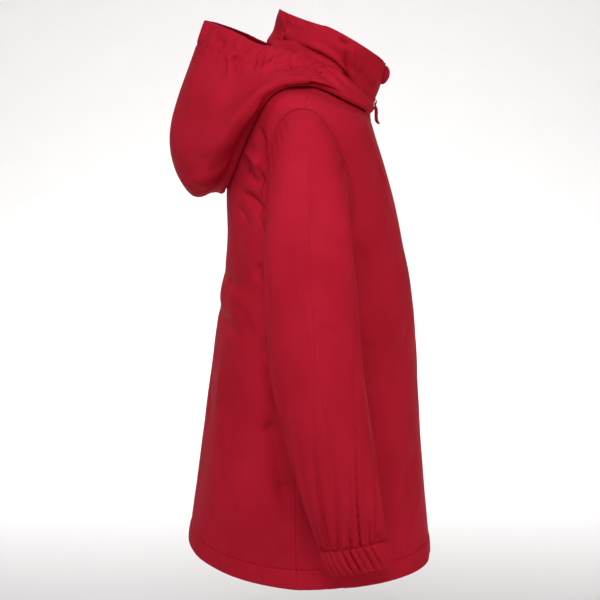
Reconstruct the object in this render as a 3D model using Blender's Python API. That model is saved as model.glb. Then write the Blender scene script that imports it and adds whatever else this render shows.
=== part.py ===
"""Kids rain jacket, size 116: a zipped, hooded shell of coated nylon, filled out as it is worn.

Frame: +X is the wearer's left, the front faces -Y, +Z is up.  The origin lies on the centre
plane at the height of the shoulders' inner ends, where a wearer carries the jacket.
All sizes are in metres and all angles in radians, unless a name says otherwise.

Every cloth piece is a closed wall: a grid of points on the garment's outer face, and the same
grid moved in by the cloth's thickness.  The body panels, the armholes, the collar, the hood's
under layer and the zip all read their points from one body surface, so their seams agree.
"""

import math

import bpy
import numpy as np

# ------------------------------------------------------------------------------------------
# Driving dimensions
# ------------------------------------------------------------------------------------------

SEAM_GAP = 0.0003           # clearance between pieces that are sewn together
CLOTH = 0.0015              # wall of the body, sleeves and hood
COLLAR_WALL = 0.0022        # two layers of cloth in the collar
CASING_EXTRA = 0.0008       # what the turned-up hem casing adds to the wall
HEM_CASING = 0.021          # height of the casing at the hem
BRIM_CASING = 0.025         # width of the casing along the hood's brim

CASING_STEP = 0.04          # share of the casing's height over which its edge steps down

BODY_POWER = 2.25           # squareness of the body's rings: 2 is an ellipse
SLEEVE_POWER = 2.05
LIFT_POWER = 1.25           # how early a ring's height leaves the side's on its way to the front

# Body rings, from the hem up.  side/front/back are heights, half_width is to the side seam,
# front_y and back_y are the depths on the centre plane, side_y is where the side seam lies.
BODY_COLUMNS = ("side_z", "front_z", "back_z", "half_width", "front_y", "back_y", "side_y")
BODY_RINGS = {
    "hem":          (-0.5130, -0.5120, -0.4945, 0.1440, -0.1312, 0.1250, 0.0100),
    "low":          (-0.4000, -0.4000, -0.4000, 0.1450, -0.1212, 0.1118, 0.0110),
    "waist":        (-0.2500, -0.2500, -0.2500, 0.1430, -0.1105, 0.0915, 0.0100),
    "underarm":     (-0.1800, -0.1800, -0.1800, 0.1410, -0.0990, 0.0828, 0.0060),
    "chest":        (-0.1200, -0.1250, -0.1100, 0.1400, -0.0872, 0.0815, 0.0040),
    "shoulder":     (-0.0340, -0.0640, -0.0250, 0.1520, -0.0682, 0.0660, 0.0020),
    "mid_shoulder": (-0.0160, -0.0530, -0.0040, 0.1050, -0.0655, 0.0450, -0.0040),
    "neck":         (-0.0030, -0.0440, 0.0100, 0.0580, -0.0652, 0.0250, -0.0120),
}
LEVEL = {name: float(index) for index, name in enumerate(BODY_RINGS)}

# The armhole is an oval in the body surface, from the underarm ring to the shoulder ring.
ARMHOLE_FRONT_ANGLE = math.radians(31.0)
ARMHOLE_BACK_ANGLE = math.radians(31.0)

# Sleeve rings of the right arm.  outer_* is the point on top of the arm, inner_* the one on the
# body's side, mid_y and half_y the ring's place and half width from front to back, and rise is
# how much higher the ring's front edge stands, per metre.
SLEEVE_COLUMNS = ("outer_x", "outer_z", "inner_x", "inner_z", "mid_y", "half_y", "rise")
SLEEVE_RINGS = {
    "armhole": (-0.1520, -0.0340, -0.1410, -0.1800, 0.0030, 0.0440, 0.00),
    "head":    (-0.1760, -0.0500, -0.1445, -0.1930, 0.0010, 0.0415, 0.00),
    "upper":   (-0.1980, -0.0900, -0.1475, -0.2120, -0.0010, 0.0410, 0.00),
    "bicep":   (-0.2140, -0.1600, -0.1500, -0.2420, -0.0030, 0.0440, 0.00),
    "elbow":   (-0.2250, -0.2600, -0.1505, -0.3000, -0.0080, 0.0457, 0.00),
    "forearm": (-0.2280, -0.3400, -0.1500, -0.3620, -0.0210, 0.0420, 0.05),
    "lower":   (-0.2250, -0.4050, -0.1520, -0.4150, -0.0340, 0.0365, 0.11),
    "wrist":   (-0.2150, -0.4510, -0.1570, -0.4540, -0.0440, 0.0310, 0.17),
}

HEAD_REACH = 2.6            # how many rings down the sleeve the armhole's own form fades out
HEAD_FADE = 1.5             # and how quickly

CUFF_HEIGHT = 0.0250
CUFF_LEAN = -0.0080         # how far forward the cuff's lower edge lies of its upper one
CUFF_FLARE = 1.02           # lower edge over upper edge
CUFF_WALL = 0.0022
CUFF_GATHERS = 28
CUFF_SEAM_DROP = 0.0007     # from the sleeve's edge to the cuff's
CUFF_GATHER_DEPTH = 0.0016
# Rows of the cuff: share of its height, and share of the gathers' depth.
CUFF_OUTER_ROWS = ((0.0, 0.55), (0.14, 0.95), (0.5, 1.0), (0.86, 0.95), (1.0, 0.5))
CUFF_INNER_ROWS = (0.0, 0.5, 1.0)
SLEEVE_GATHERS = 14
SLEEVE_GATHER_DEPTH = 0.0020
SLEEVE_GATHER_LENGTH = 0.105

# Collar rings above the body's neck ring, in the same terms.
COLLAR_RINGS = {
    "middle": (0.0170, -0.0200, 0.0280, 0.0628, -0.0752, 0.0420, -0.0130),
    "top":    (0.0425, 0.0046, 0.0605, 0.0610, -0.0815, 0.0285, -0.0200),
}

# Hood, folded down: stations from its front end to the centre seam.  The brim and the belly are
# points of the upper layer; fold_angle and fold_level say where on the body the lower fold lies,
# fold_top how far the upper layer stands off the body there, and neck_angle where the station
# meets the neck seam.  lower_full is how far the bag bulges below the belly.
HOOD_COLUMNS = ("brim_x", "brim_y", "brim_z", "belly_x", "belly_y", "belly_z", "lower_full",
                "fold_angle", "fold_level", "fold_top", "neck_angle")
HOOD_STATIONS = {
    "front_end":   (-0.0335, -0.0655, -0.0345, -0.0415, -0.0675, -0.0390,
                    0.000, 29.0, 6.15, 0.0062, 29.0),
    "collarbone":  (-0.0590, -0.0370, -0.0088, -0.0790, -0.0450, -0.0160,
                    0.000, 60.0, 6.05, 0.0075, 60.0),
    "side":        (-0.0665, -0.0100, 0.0018, -0.0930, -0.0120, -0.0020,
                    0.001, 83.0, 5.98, 0.0080, 84.0),
    "behind_side": (-0.0715, 0.0170, 0.0120, -0.1080, 0.0240, -0.0020,
                    0.002, 103.0, 5.74, 0.0082, 104.0),
    "shoulder":    (-0.0740, 0.0430, 0.0222, -0.1160, 0.0580, -0.0180,
                    0.004, 117.0, 5.22, 0.0085, 122.0),
    "blade":       (-0.0690, 0.0670, 0.0356, -0.0980, 0.0960, -0.0380,
                    0.011, 134.0, 4.58, 0.0090, 142.0),
    "back":        (-0.0440, 0.0915, 0.0452, -0.0560, 0.1280, -0.0540,
                    0.020, 154.0, 3.97, 0.0095, 161.0),
    "centre":      (0.0000, 0.1045, 0.0487, 0.0000, 0.1410, -0.0630,
                    0.0225, 180.0, 3.75, 0.0095, 180.0),
}
HOOD_WALL = 0.0012
LOWER_SHARE = 0.80          # where the lower bulge lies between belly and fold
HOOD_BEND = 0.055           # how far the bend reaches below the fold, in levels of the body
HOOD_UNDER_LIFT = 0.0027    # how far the under layer stands off the body
HOOD_UNDER_ARCH = 0.0016    # and how much more it does midway
HOOD_SEAM_LIFT = 0.0006     # and how far at the neck seam
HOOD_NECK_LEVEL = 6.94      # the neck seam's place on the body
# Rows of the upper layer: 0 is the brim, 1 the belly, 2 the lower bulge and 3 the fold.
HOOD_UPPER_ROWS = (0.0, 0.2, 0.4, 0.7, 1.0, 1.35, 1.7, 2.05, 2.4, 2.7, 3.0)
HOOD_UNDER_ROWS = 8
HOOD_STEPS = 12

# Large soft folds of the body.  angle (degrees round the ring) and height are the fold's middle,
# half_length and half_width its size, tilt (degrees) turns it up toward the back, and depth is
# how far the cloth moves out, or in where it is negative.  Both sides of the body have them.
BODY_FOLDS = {  # angle, height, half_length, half_width, tilt, depth
    "waist_bulge_back":    (148.0, -0.232, 0.055, 0.0120, 4.0, 0.0030),
    "waist_crease_above":  (150.0, -0.213, 0.050, 0.0075, 3.0, -0.0030),
    "waist_crease_below":  (152.0, -0.254, 0.055, 0.0080, 8.0, -0.0035),
    "waist_crease_front":  (37.0, -0.240, 0.035, 0.0080, 0.0, -0.0024),
    "waist_bulge_front":   (42.0, -0.262, 0.034, 0.0130, 6.0, 0.0016),
    "collarbone":          (42.0, -0.050, 0.030, 0.0150, 0.0, 0.0019),
    "armhole_drag_upper":  (131.0, -0.088, 0.026, 0.0080, -38.0, -0.0030),
    "armhole_drag_middle": (134.0, -0.131, 0.028, 0.0085, -28.0, -0.0035),
    "armhole_drag_lower":  (140.0, -0.158, 0.026, 0.0090, -40.0, -0.0025),
    "skirt_sweep_front":   (38.0, -0.400, 0.030, 0.0500, 0.0, 0.0020),
    "skirt_hollow_side":   (70.0, -0.440, 0.018, 0.0600, 0.0, -0.0030),
    "skirt_sweep_back":    (128.0, -0.430, 0.026, 0.0550, 0.0, 0.0025),
    "skirt_hollow_back":   (158.0, -0.420, 0.024, 0.0600, 0.0, -0.0022),
}
FOLD_RADIUS = 0.118         # turns ring angle into length round the body

# Folds of the collar: angle and height as above, with height from 0 at the seam to 1.
COLLAR_FOLDS = {  # angle, height, half_length, half_width, tilt, depth
    "trough":      (62.0, 0.520, 0.0330, 0.0050, 12.0, -0.0035),
    "trough_down": (36.0, 0.380, 0.0160, 0.0050, 52.0, -0.0028),
    "roll_below":  (84.0, 0.360, 0.0300, 0.0060, 8.0, 0.0012),
    "band_back":   (168.0, 0.700, 0.0420, 0.0080, 0.0, -0.0048),
}
COLLAR_RADIUS = 0.058       # turns ring angle into length round the collar
COLLAR_STAND = 0.050        # height of the collar
COLLAR_FOOT = 0.008         # share of it by which the collar clears the neck seam

ZIP_HALF_GAP = 0.0065       # from the centre plane to a front edge
TAPE_WALL = 0.0010
TAPE_WIDTH = 0.0120
TAPE_DEEPENS = (6.70, 6.92) # places between which the tapes pass from the fronts to the collar
CHAIN_HALF_WIDTH = 0.0031
CHAIN_FACE = 0.0006         # the chain's face below the cloth's
TEETH_PARTED = 0.0016       # how far each open row of teeth leans away at the collar's top

# Places along the zip: levels of the body, then 7 plus the height on the collar.
ZIP_FOOT = 0.035
SLIDER_FOOT = 7.070
SLIDER_HEAD = 7.290
ZIP_HEAD = 7.950
CHAIN_END = 0.008           # clearance of the teeth from the slider
ZIP_ROW_CLEARANCE = 0.02    # least distance of a row from the ends
NECK_BLEND = 0.14           # length over which the body's slope turns into the collar's
COLLAR_ZIP_ROWS = (0.1, 0.3, 0.5, 0.75)

SLIDER_HALF_WIDTH = 0.0042
SLIDER_WEB = 0.0027         # half width of the web that parts the teeth
SLIDER_RISE = 0.0006        # front plate above the cloth's face
SLIDER_REAR_WALL = 0.0011
SLIDER_REAR_SHARE = 0.9     # width of the rear plate over the front one's
# Sections along the slider: place from its middle, in half lengths, and share of its width.
SLIDER_SECTIONS = ((-1.0, 0.74), (-0.5, 0.95), (0.45, 1.0), (1.0, 0.86))
BAIL_HALF_WIDTH = 0.0008
BAIL_RISE = 0.0034          # outer face of the bail above the slider's plate
BAIL_FOOT = 0.0003          # its feet start inside the plate
BAIL_BAR = 0.0008
BAIL_CORNER = (0.0008, 0.0007)  # its corners' chamfer, along the zip and outward
BAIL_WINDOW = 0.0036        # length of the bail's window along the zip
PULLER_EYE = 0.0052         # from the hinge to the tongue
EYE_HALF_WIDTH = 0.0013     # the eye's window beside the bail
EYE_BAR = 0.0005            # half the cross-bar that lies inside the bail
EYE_DEPTH = 0.004           # how far the window's cutter reaches to the front and to the back
HINGE_RISE = 0.0016         # the hinge above the cloth's face
HINGE_SHARE = 0.55          # where the hinge lies along the slider
# Rows of the puller from its eye down: distance below the hinge, how far forward its middle
# lies, half width and half thickness.
PULLER_ROWS = (
    (-0.0005, 0.0000, 0.0024, 0.0005),
    (0.0005, 0.0000, 0.0030, 0.0006),
    (0.0040, 0.0004, 0.0030, 0.0009),
    (0.0070, 0.0008, 0.0026, 0.0013),
    (0.0110, 0.0010, 0.0025, 0.0014),
    (0.0145, 0.0008, 0.0026, 0.0012),
    (0.0185, 0.0014, 0.0028, 0.0014),
    (0.0210, 0.0028, 0.0028, 0.0014),
    (0.0222, 0.0040, 0.0022, 0.0010),
)
GUARD_FOOT = 7.570          # the chin guard's lower and upper ends along the zip
GUARD_HEAD = 7.960
GUARD_REACH = 0.0064        # how far it stands forward of the collar
GUARD_ROUND = 0.98          # share of the half round that its outline takes
GUARD_SECTIONS = 9
GUARD_LIFT = 0.0002
# Section of the chin guard: distance across the zip, and share of its reach; the first and last
# points are its roots on the collar.
GUARD_OUTLINE = ((-0.0060, None), (-0.0058, 0.55), (-0.0050, 0.92), (-0.0028, 1.0),
                 (-0.0012, 0.75), (-0.0006, None))

# Mesh density
ARMHOLE_STEPS = 14
ARMHOLE_BLEND = 1.5         # how quickly the armhole's rows turn even further in
SIDE_LEVELS = (0.55, 0.95, 1.35, 1.65, 1.83, 1.97, 2.12, 2.27, 2.42, 2.60, 2.80, 3.0)
YOKE_STEPS = 3
FRONT_COLUMNS = 10
BACK_COLUMNS = 22
COLLAR_COLUMNS = 36
COLLAR_ROWS = 4
# Rows of the sleeve, as places on its rings; the lower ones carry the gathers.
SLEEVE_UPPER_ROWS = (0.0, 0.4, 0.9, 1.45, 2.05, 2.6, 3.15, 3.7, 4.3, 4.9, 5.5)
SLEEVE_LOWER_ROWS = (5.8, 6.1, 6.4, 6.7, 7.0)

RED = (0.49, 0.012, 0.030, 1.0)
RED_SHADE = (0.42, 0.010, 0.026, 1.0)
DARK_RED = (0.30, 0.008, 0.020, 1.0)

QUARTER = 0.5 * math.pi


# ------------------------------------------------------------------------------------------
# Curves and surfaces
# ------------------------------------------------------------------------------------------

def smooth_table(rows, places):
    """Values of a table's columns at fractional row places, on a smooth curve through the rows."""
    rows = np.asarray(rows, dtype=float)
    places = np.asarray(places, dtype=float)
    below = np.clip(np.floor(places).astype(int), 0, len(rows) - 2)
    step = (places - below)[..., None]
    padded = np.vstack((2.0 * rows[0] - rows[1], rows, 2.0 * rows[-1] - rows[-2]))
    before, start, end, after = (padded[below + shift] for shift in range(4))
    start_slope = 0.5 * (end - before)
    end_slope = 0.5 * (after - start)
    return ((2.0 * step**3 - 3.0 * step**2 + 1.0) * start
            + (step**3 - 2.0 * step**2 + step) * start_slope
            + (3.0 * step**2 - 2.0 * step**3) * end
            + (step**3 - step**2) * end_slope)


def columns(values, names, *wanted):
    """The wanted columns of a table's values, each as an array of its own."""
    return (values[..., names.index(name)] for name in wanted)


def ring_points(angle, sizes, power):
    """Points of an egg-shaped ring; angle 0 is the front, a quarter turn the wearer's right."""
    side_z, front_z, back_z, half_width, front_y, back_y, side_y = columns(
        sizes, BODY_COLUMNS, *BODY_COLUMNS)
    across, along = np.sin(angle), np.cos(angle)
    reach = (np.abs(across)**power + np.abs(along)**power)**(-1.0 / power)
    depth = np.where(along > 0.0, side_y - front_y, back_y - side_y)
    lift = np.where(along > 0.0, front_z - side_z, back_z - side_z)
    return np.stack((-half_width * reach * across,
                     side_y - depth * reach * along,
                     side_z + lift * np.abs(along)**LIFT_POWER), axis=-1)


def plain_body(angle, level):
    """The body's outer face without its folds."""
    angle, level = np.broadcast_arrays(np.asarray(angle, float), np.asarray(level, float))
    sizes = smooth_table(list(BODY_RINGS.values()), level)
    return ring_points(angle, sizes, BODY_POWER)


def fold_relief(angle, height, folds, radius):
    """How far soft folds move the cloth out at ring angles and heights, alike on both sides."""
    from_front = np.abs((angle + math.pi) % (2.0 * math.pi) - math.pi)
    relief = np.zeros(np.shape(from_front))
    for middle, middle_height, half_length, half_width, tilt, depth in folds:
        along = (from_front - math.radians(middle)) * radius
        above = height - middle_height
        turn = math.radians(tilt)
        lengthwise = along * math.cos(turn) + above * math.sin(turn)
        crosswise = above * math.cos(turn) - along * math.sin(turn)
        relief = relief + depth * np.exp(-(lengthwise / half_length)**2
                                         - (crosswise / half_width)**2)
    return relief


def body_surface(angle, level):
    """Points on the outer face of the body at ring angles and levels of BODY_RINGS."""
    angle, level = np.broadcast_arrays(np.asarray(angle, float), np.asarray(level, float))
    plain = plain_body(angle, level)
    relief = fold_relief(angle, plain[..., 2], BODY_FOLDS.values(), FOLD_RADIUS)
    return plain + surface_normals(plain_body, angle, level) * relief[..., None]


def surface_normals(surface, first, second):
    """Outward unit normals of a surface of two parameters, by small differences."""
    nudge = 1e-4
    along_first = surface(first + nudge, second) - surface(first - nudge, second)
    along_second = surface(first, second + nudge) - surface(first, second - nudge)
    normals = np.cross(along_second, along_first)
    return normals / np.linalg.norm(normals, axis=-1, keepdims=True)


def from_surface(surface, first, second, out):
    """Points at a distance out of a surface of two parameters."""
    first, second, out = np.broadcast_arrays(first, second, out)
    return surface(first, second) + surface_normals(surface, first, second) * out[..., None]


def grid_normals(grid, closed):
    """Unit normals of a grid of points, from its neighbours along rows and columns."""
    down = np.gradient(grid, axis=0)
    if closed:
        along = np.roll(grid, -1, axis=1) - np.roll(grid, 1, axis=1)
    else:
        along = np.gradient(grid, axis=1)
    normals = np.cross(down, along)
    return normals / np.linalg.norm(normals, axis=-1, keepdims=True)


def spread(start, end, count):
    """Rows of evenly spaced values between two arrays, as the columns of a grid."""
    share = np.linspace(0.0, 1.0, count + 1)
    return np.asarray(start)[..., None] * (1.0 - share) + np.asarray(end)[..., None] * share


# ------------------------------------------------------------------------------------------
# Solids
# ------------------------------------------------------------------------------------------

def cloth_material(name, colour, roughness=0.45, metallic=0.0):
    """A plain material; the coated cloth's own values are the usual ones."""
    material = bpy.data.materials.new(name)
    material.use_nodes = True
    shader = material.node_tree.nodes["Principled BSDF"]
    shader.inputs["Base Color"].default_value = colour
    shader.inputs["Roughness"].default_value = roughness
    shader.inputs["Metallic"].default_value = metallic
    return material


def signed_volume(points, triangles):
    """Volume inside a closed mesh of triangles; negative where its faces point inward."""
    corners = points[np.array(triangles)]
    return float(np.einsum("ij,ij->i", corners[:, 0],
                           np.cross(corners[:, 1], corners[:, 2])).sum() / 6.0)


def add_solid(name, points, triangles, material, origin=(0.0, 0.0, 0.0)):
    """A named object from triangles, turned so that its faces point out."""
    points = np.asarray(points, dtype=float)
    if signed_volume(points, triangles) < 0.0:
        triangles = [triangle[::-1] for triangle in triangles]
    mesh = bpy.data.meshes.new(name)
    mesh.from_pydata((points - np.asarray(origin)).tolist(), [], triangles)
    mesh.validate()
    mesh.shade_smooth()
    mesh.set_sharp_from_angle(angle=math.radians(40.0))
    mesh.materials.append(material)
    solid = bpy.data.objects.new(name, mesh)
    solid.location = origin
    bpy.context.scene.collection.objects.link(solid)
    return solid


def joined_rows(first, second, closed):
    """Triangles between two rows of point numbers; the second may hold twice as many."""
    triangles = []
    count = len(first) if closed else len(first) - 1
    doubled = len(second) >= 2 * len(first) - 1 and len(second) != len(first)
    for place in range(count):
        here, there = first[place], first[(place + 1) % len(first)]
        if doubled:
            left, middle, right = (second[(2 * place + shift) % len(second)] for shift in range(3))
            triangles += [(here, left, middle), (here, middle, there), (there, middle, right)]
        else:
            left, right = second[place], second[(place + 1) % len(second)]
            triangles += [(here, left, right), (here, right, there)]
    return triangles


def wall_solid(name, outer_rows, inner_rows, material, closed=False):
    """A closed wall of cloth between rows of points on its outer and on its inner face."""
    points, outer, inner = [], [], []
    for rows, numbers in ((outer_rows, outer), (inner_rows, inner)):
        for row in rows:
            numbers.append(list(range(len(points), len(points) + len(row))))
            points.extend(row)
    triangles = []
    for first, second in zip(outer, outer[1:]):
        triangles += joined_rows(first, second, closed)
    for first, second in zip(inner, inner[1:]):
        triangles += [triangle[::-1] for triangle in joined_rows(first, second, closed)]
    triangles += joined_rows(inner[0], outer[0], closed)
    triangles += joined_rows(outer[-1], inner[-1], closed)
    if not closed:
        for edge in (0, -1):
            outer_edge = [row[edge] for row in outer]
            inner_edge = [row[edge] for row in inner]
            strip = joined_rows(outer_edge, inner_edge, False)
            triangles += strip if edge == 0 else [triangle[::-1] for triangle in strip]
    return add_solid(name, points, triangles, material)


def mirrored(grid):
    """The same points on the wearer's left."""
    return np.asarray(grid) * np.array((-1.0, 1.0, 1.0))


# ------------------------------------------------------------------------------------------
# Body panels
# ------------------------------------------------------------------------------------------

def casing_level():
    """Level of the hem casing's upper edge."""
    return HEM_CASING / (BODY_RINGS["low"][0] - BODY_RINGS["hem"][0])


def body_levels():
    """Rows of the body panels from the hem up, and how far each opens the armhole (0 to 1)."""
    casing = casing_level()
    below = np.concatenate(([0.0, casing * (1.0 - CASING_STEP), casing], SIDE_LEVELS))
    turn = np.linspace(0.0, math.pi, ARMHOLE_STEPS + 1)[1:-1]
    span = LEVEL["shoulder"] - LEVEL["underarm"]
    hole = LEVEL["underarm"] + span * 0.5 * (1.0 - np.cos(turn))
    above = np.linspace(LEVEL["shoulder"], LEVEL["neck"], YOKE_STEPS + 1)
    levels = np.concatenate((below, hole, above))
    opening = np.concatenate((np.zeros(len(below)), np.sin(turn), np.zeros(len(above))))
    return levels, opening


def panel_levels(levels, opening, edge_share):
    """Levels of a panel's grid: spaced for the armhole at its edge, evenly further in."""
    first = int(np.argmax(opening > 0.0)) - 1
    last = first + ARMHOLE_STEPS
    even = levels.copy()
    even[first:last + 1] = np.linspace(levels[first], levels[last], ARMHOLE_STEPS + 1)
    return even[:, None] + (levels - even)[:, None] * edge_share[None, :]**ARMHOLE_BLEND


def seam_slack(level, front):
    """Half the seam gap at the side seam or shoulder seam, as a ring angle."""
    sizes = smooth_table(list(BODY_RINGS.values()), level)
    front_y, back_y, side_y = columns(sizes, BODY_COLUMNS, "front_y", "back_y", "side_y")
    return 0.5 * SEAM_GAP / (side_y - front_y if front else back_y - side_y)


def armhole_edge(level, opening, front):
    """Ring angle of a panel's outer edge at each row."""
    half_angle = ARMHOLE_FRONT_ANGLE if front else ARMHOLE_BACK_ANGLE
    away = half_angle * opening + seam_slack(level, front)
    return QUARTER - away if front else QUARTER + away


def casing_thickness(levels):
    """Extra thickness of the wall in each row: the turned-up hem."""
    return np.where(levels < casing_level() * (1.0 - 0.5 * CASING_STEP), CASING_EXTRA, 0.0)


def armhole_loop():
    """The right armhole's seam, from the shoulder round the front to the underarm and back."""
    levels, opening = body_levels()
    first = int(np.argmax(opening > 0.0)) - 1
    rows = slice(first, first + ARMHOLE_STEPS + 1)
    hole, width = levels[rows], opening[rows]
    front = body_surface(QUARTER - ARMHOLE_FRONT_ANGLE * width, hole)
    back = body_surface(QUARTER + ARMHOLE_BACK_ANGLE * width, hole)
    return np.concatenate((front[::-1], back[1:-1]))


def toward_armhole_centre(points):
    """Unit directions from points of the armhole seam to its middle, square to the shoulders."""
    middle = armhole_loop().mean(axis=0)
    aim = (middle - points) * np.array((0.0, 1.0, 1.0))
    return aim / np.linalg.norm(aim, axis=-1, keepdims=True)


def body_panel(angles, levels, opening, edge_share):
    """Outer and inner points of a body panel; its armhole edge turns to the armhole's middle."""
    grid_levels = panel_levels(levels, opening, edge_share)
    thickness = casing_thickness(levels)[:, None]
    outer = from_surface(body_surface, angles, grid_levels, thickness)
    inner = from_surface(body_surface, angles, grid_levels, -CLOTH)
    at_hole = opening > 0.0
    for column in np.flatnonzero(edge_share == 1.0):
        edge = outer[at_hole, column]
        inner[at_hole, column] = edge + CLOTH * toward_armhole_centre(edge)
    return outer, inner


def build_fronts(material):
    """The two fronts, from the zip to the side seam and from the hem to the neck and shoulder."""
    levels, opening = body_levels()
    edge = armhole_edge(levels, opening, front=True)
    sizes = smooth_table(list(BODY_RINGS.values()), levels)
    half_width, = columns(sizes, BODY_COLUMNS, "half_width")
    centre = np.arcsin(ZIP_HALF_GAP / half_width)
    angles = spread(centre, edge, FRONT_COLUMNS)
    outer, inner = body_panel(angles, levels, opening, np.linspace(0.0, 1.0, FRONT_COLUMNS + 1))
    wall_solid("front_right", outer, inner, material)
    wall_solid("front_left", mirrored(outer), mirrored(inner), material)


def build_back(material):
    """The back, in one piece from side seam to side seam."""
    levels, opening = body_levels()
    edge = armhole_edge(levels, opening, front=False)
    angles = spread(edge, 2.0 * math.pi - edge, BACK_COLUMNS)
    edge_share = np.abs(np.linspace(-1.0, 1.0, BACK_COLUMNS + 1))
    outer, inner = body_panel(angles, levels, opening, edge_share)
    wall_solid("back", outer, inner, material)


# ------------------------------------------------------------------------------------------
# Sleeves and cuffs
# ------------------------------------------------------------------------------------------

def sleeve_ring(turn, place):
    """Points of the plain right sleeve: turn 0 is its top edge, a quarter its front."""
    turn, place = np.broadcast_arrays(np.asarray(turn, float), np.asarray(place, float))
    sizes = smooth_table(list(SLEEVE_RINGS.values()), place)
    outer_x, outer_z, inner_x, inner_z, mid_y, half_y, rise = columns(
        sizes, SLEEVE_COLUMNS, *SLEEVE_COLUMNS)
    up, forward = np.cos(turn), np.sin(turn)
    reach = (np.abs(up)**SLEEVE_POWER + np.abs(forward)**SLEEVE_POWER)**(-1.0 / SLEEVE_POWER)
    up, forward = up * reach, forward * reach
    return np.stack((0.5 * (outer_x + inner_x) + 0.5 * (outer_x - inner_x) * up,
                     mid_y - half_y * forward,
                     0.5 * (outer_z + inner_z) + 0.5 * (outer_z - inner_z) * up
                     + rise * half_y * forward), axis=-1)


def sleeve_grid(places):
    """The right sleeve's outer points, meeting the armhole, and the turns of its columns.

    It has two columns for each point of the armhole's seam.
    """
    seam = armhole_loop()
    turns = np.linspace(0.0, 2.0 * math.pi, 2 * len(seam), endpoint=False)
    grid = sleeve_ring(turns[None, :], places[:, None])
    doubled = np.empty((len(turns), 3))
    doubled[::2] = seam
    doubled[1::2] = 0.5 * (seam + np.roll(seam, -1, axis=0))
    miss = doubled - sleeve_ring(turns, 0.0)
    fade = np.clip(1.0 - places / HEAD_REACH, 0.0, 1.0)**HEAD_FADE
    grid += fade[:, None, None] * miss[None, :, :]
    return grid, turns


def sleeve_length(grid):
    """Mean distance of each row from the last one, down the sleeve."""
    steps = np.linalg.norm(np.diff(grid, axis=0), axis=-1).mean(axis=1)
    return np.concatenate((np.cumsum(steps[::-1])[::-1], (0.0,)))


def build_sleeve(material):
    """Both sleeves, gathered toward the cuff; gives the right one's plain wrist edge."""
    grid, turns = sleeve_grid(np.array(SLEEVE_UPPER_ROWS + SLEEVE_LOWER_ROWS))
    normals = grid_normals(grid, closed=True)
    from_cuff = sleeve_length(grid)
    gather = SLEEVE_GATHER_DEPTH * np.clip(1.0 - from_cuff / SLEEVE_GATHER_LENGTH, 0.0, 1.0)
    wave = np.cos(SLEEVE_GATHERS * turns)
    shift = normals * (gather[:, None] * wave[None, :])[..., None]
    shift[-1] *= np.array((1.0, 1.0, 0.0))
    outer = grid + shift
    inner = outer - CLOTH * normals
    away = np.array((-SEAM_GAP, 0.0, 0.0))
    seam = grid[0]
    outer[0] = seam + away
    inner[0] = seam + away + CLOTH * toward_armhole_centre(seam)
    split = len(SLEEVE_UPPER_ROWS)
    outer_rows = [row[::2] for row in outer[:split]] + list(outer[split:])
    inner_rows = [row[::2] for row in inner[:split]] + list(inner[split:])
    wall_solid("sleeve_right", outer_rows, inner_rows, material, closed=True)
    wall_solid("sleeve_left", [mirrored(row) for row in outer_rows],
               [mirrored(row) for row in inner_rows], material, closed=True)
    return grid[-1]


def build_cuff(material, upper_edge):
    """The elastic casing below the sleeve: crests on its outer face, plain inside."""
    middle = upper_edge.mean(axis=0)
    crest = np.where(np.arange(2 * CUFF_GATHERS) % 2 == 0, CUFF_GATHER_DEPTH, 0.0)
    down = np.array((0.0, CUFF_LEAN, -CUFF_HEIGHT))
    down /= np.linalg.norm(down)
    spokes = upper_edge - middle
    spokes /= np.linalg.norm(spokes, axis=1, keepdims=True)
    radius = np.linalg.norm(upper_edge - middle, axis=1).mean()

    def ring(share, out):
        flare = radius * (CUFF_FLARE - 1.0) * share
        drop = CUFF_SEAM_DROP + CUFF_HEIGHT * share
        return upper_edge + down * drop + spokes * (np.asarray(out)[..., None] + flare)

    outer = [ring(share, crest * swell) for share, swell in CUFF_OUTER_ROWS]
    inner = [ring(share, np.full(len(spokes), -CUFF_WALL)) for share in CUFF_INNER_ROWS]
    wall_solid("cuff_right", outer, inner, material, closed=True)
    wall_solid("cuff_left", [mirrored(row) for row in outer],
               [mirrored(row) for row in inner], material, closed=True)


# ------------------------------------------------------------------------------------------
# Collar and hood
# ------------------------------------------------------------------------------------------

def collar_sizes(height):
    """Sizes of the collar's ring at heights from 0, the neck seam, to 1, the top edge."""
    rings = [BODY_RINGS["neck"], *COLLAR_RINGS.values()]
    return smooth_table(rings, np.asarray(height) * (len(rings) - 1))


def plain_collar(angle, height):
    """The collar's outer face without its folds."""
    angle, height = np.broadcast_arrays(np.asarray(angle, float), np.asarray(height, float))
    return ring_points(angle, collar_sizes(height), BODY_POWER)


def collar_surface(angle, height):
    """Points on the outer face of the collar."""
    angle, height = np.broadcast_arrays(np.asarray(angle, float), np.asarray(height, float))
    stands = [(middle, share * COLLAR_STAND, *rest)
              for middle, share, *rest in COLLAR_FOLDS.values()]
    relief = fold_relief(angle, height * COLLAR_STAND, stands, COLLAR_RADIUS)
    return (plain_collar(angle, height)
            + surface_normals(plain_collar, angle, height) * relief[..., None])


def build_collar(material):
    """The stand-up collar, two layers of cloth in one wall."""
    rows = np.linspace(0.0, 1.0, COLLAR_ROWS + 1)[1:]
    heights = np.concatenate(((COLLAR_FOOT,), rows))
    half_width, = columns(collar_sizes(heights), BODY_COLUMNS, "half_width")
    edge = np.arcsin(ZIP_HALF_GAP / half_width)
    angles = spread(edge, 2.0 * math.pi - edge, COLLAR_COLUMNS)
    grid_heights = np.broadcast_to(heights[:, None], angles.shape)
    outer = collar_surface(angles, grid_heights)
    inner = from_surface(collar_surface, angles, grid_heights, -COLLAR_WALL)
    wall_solid("collar", outer, inner, material)


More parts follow.
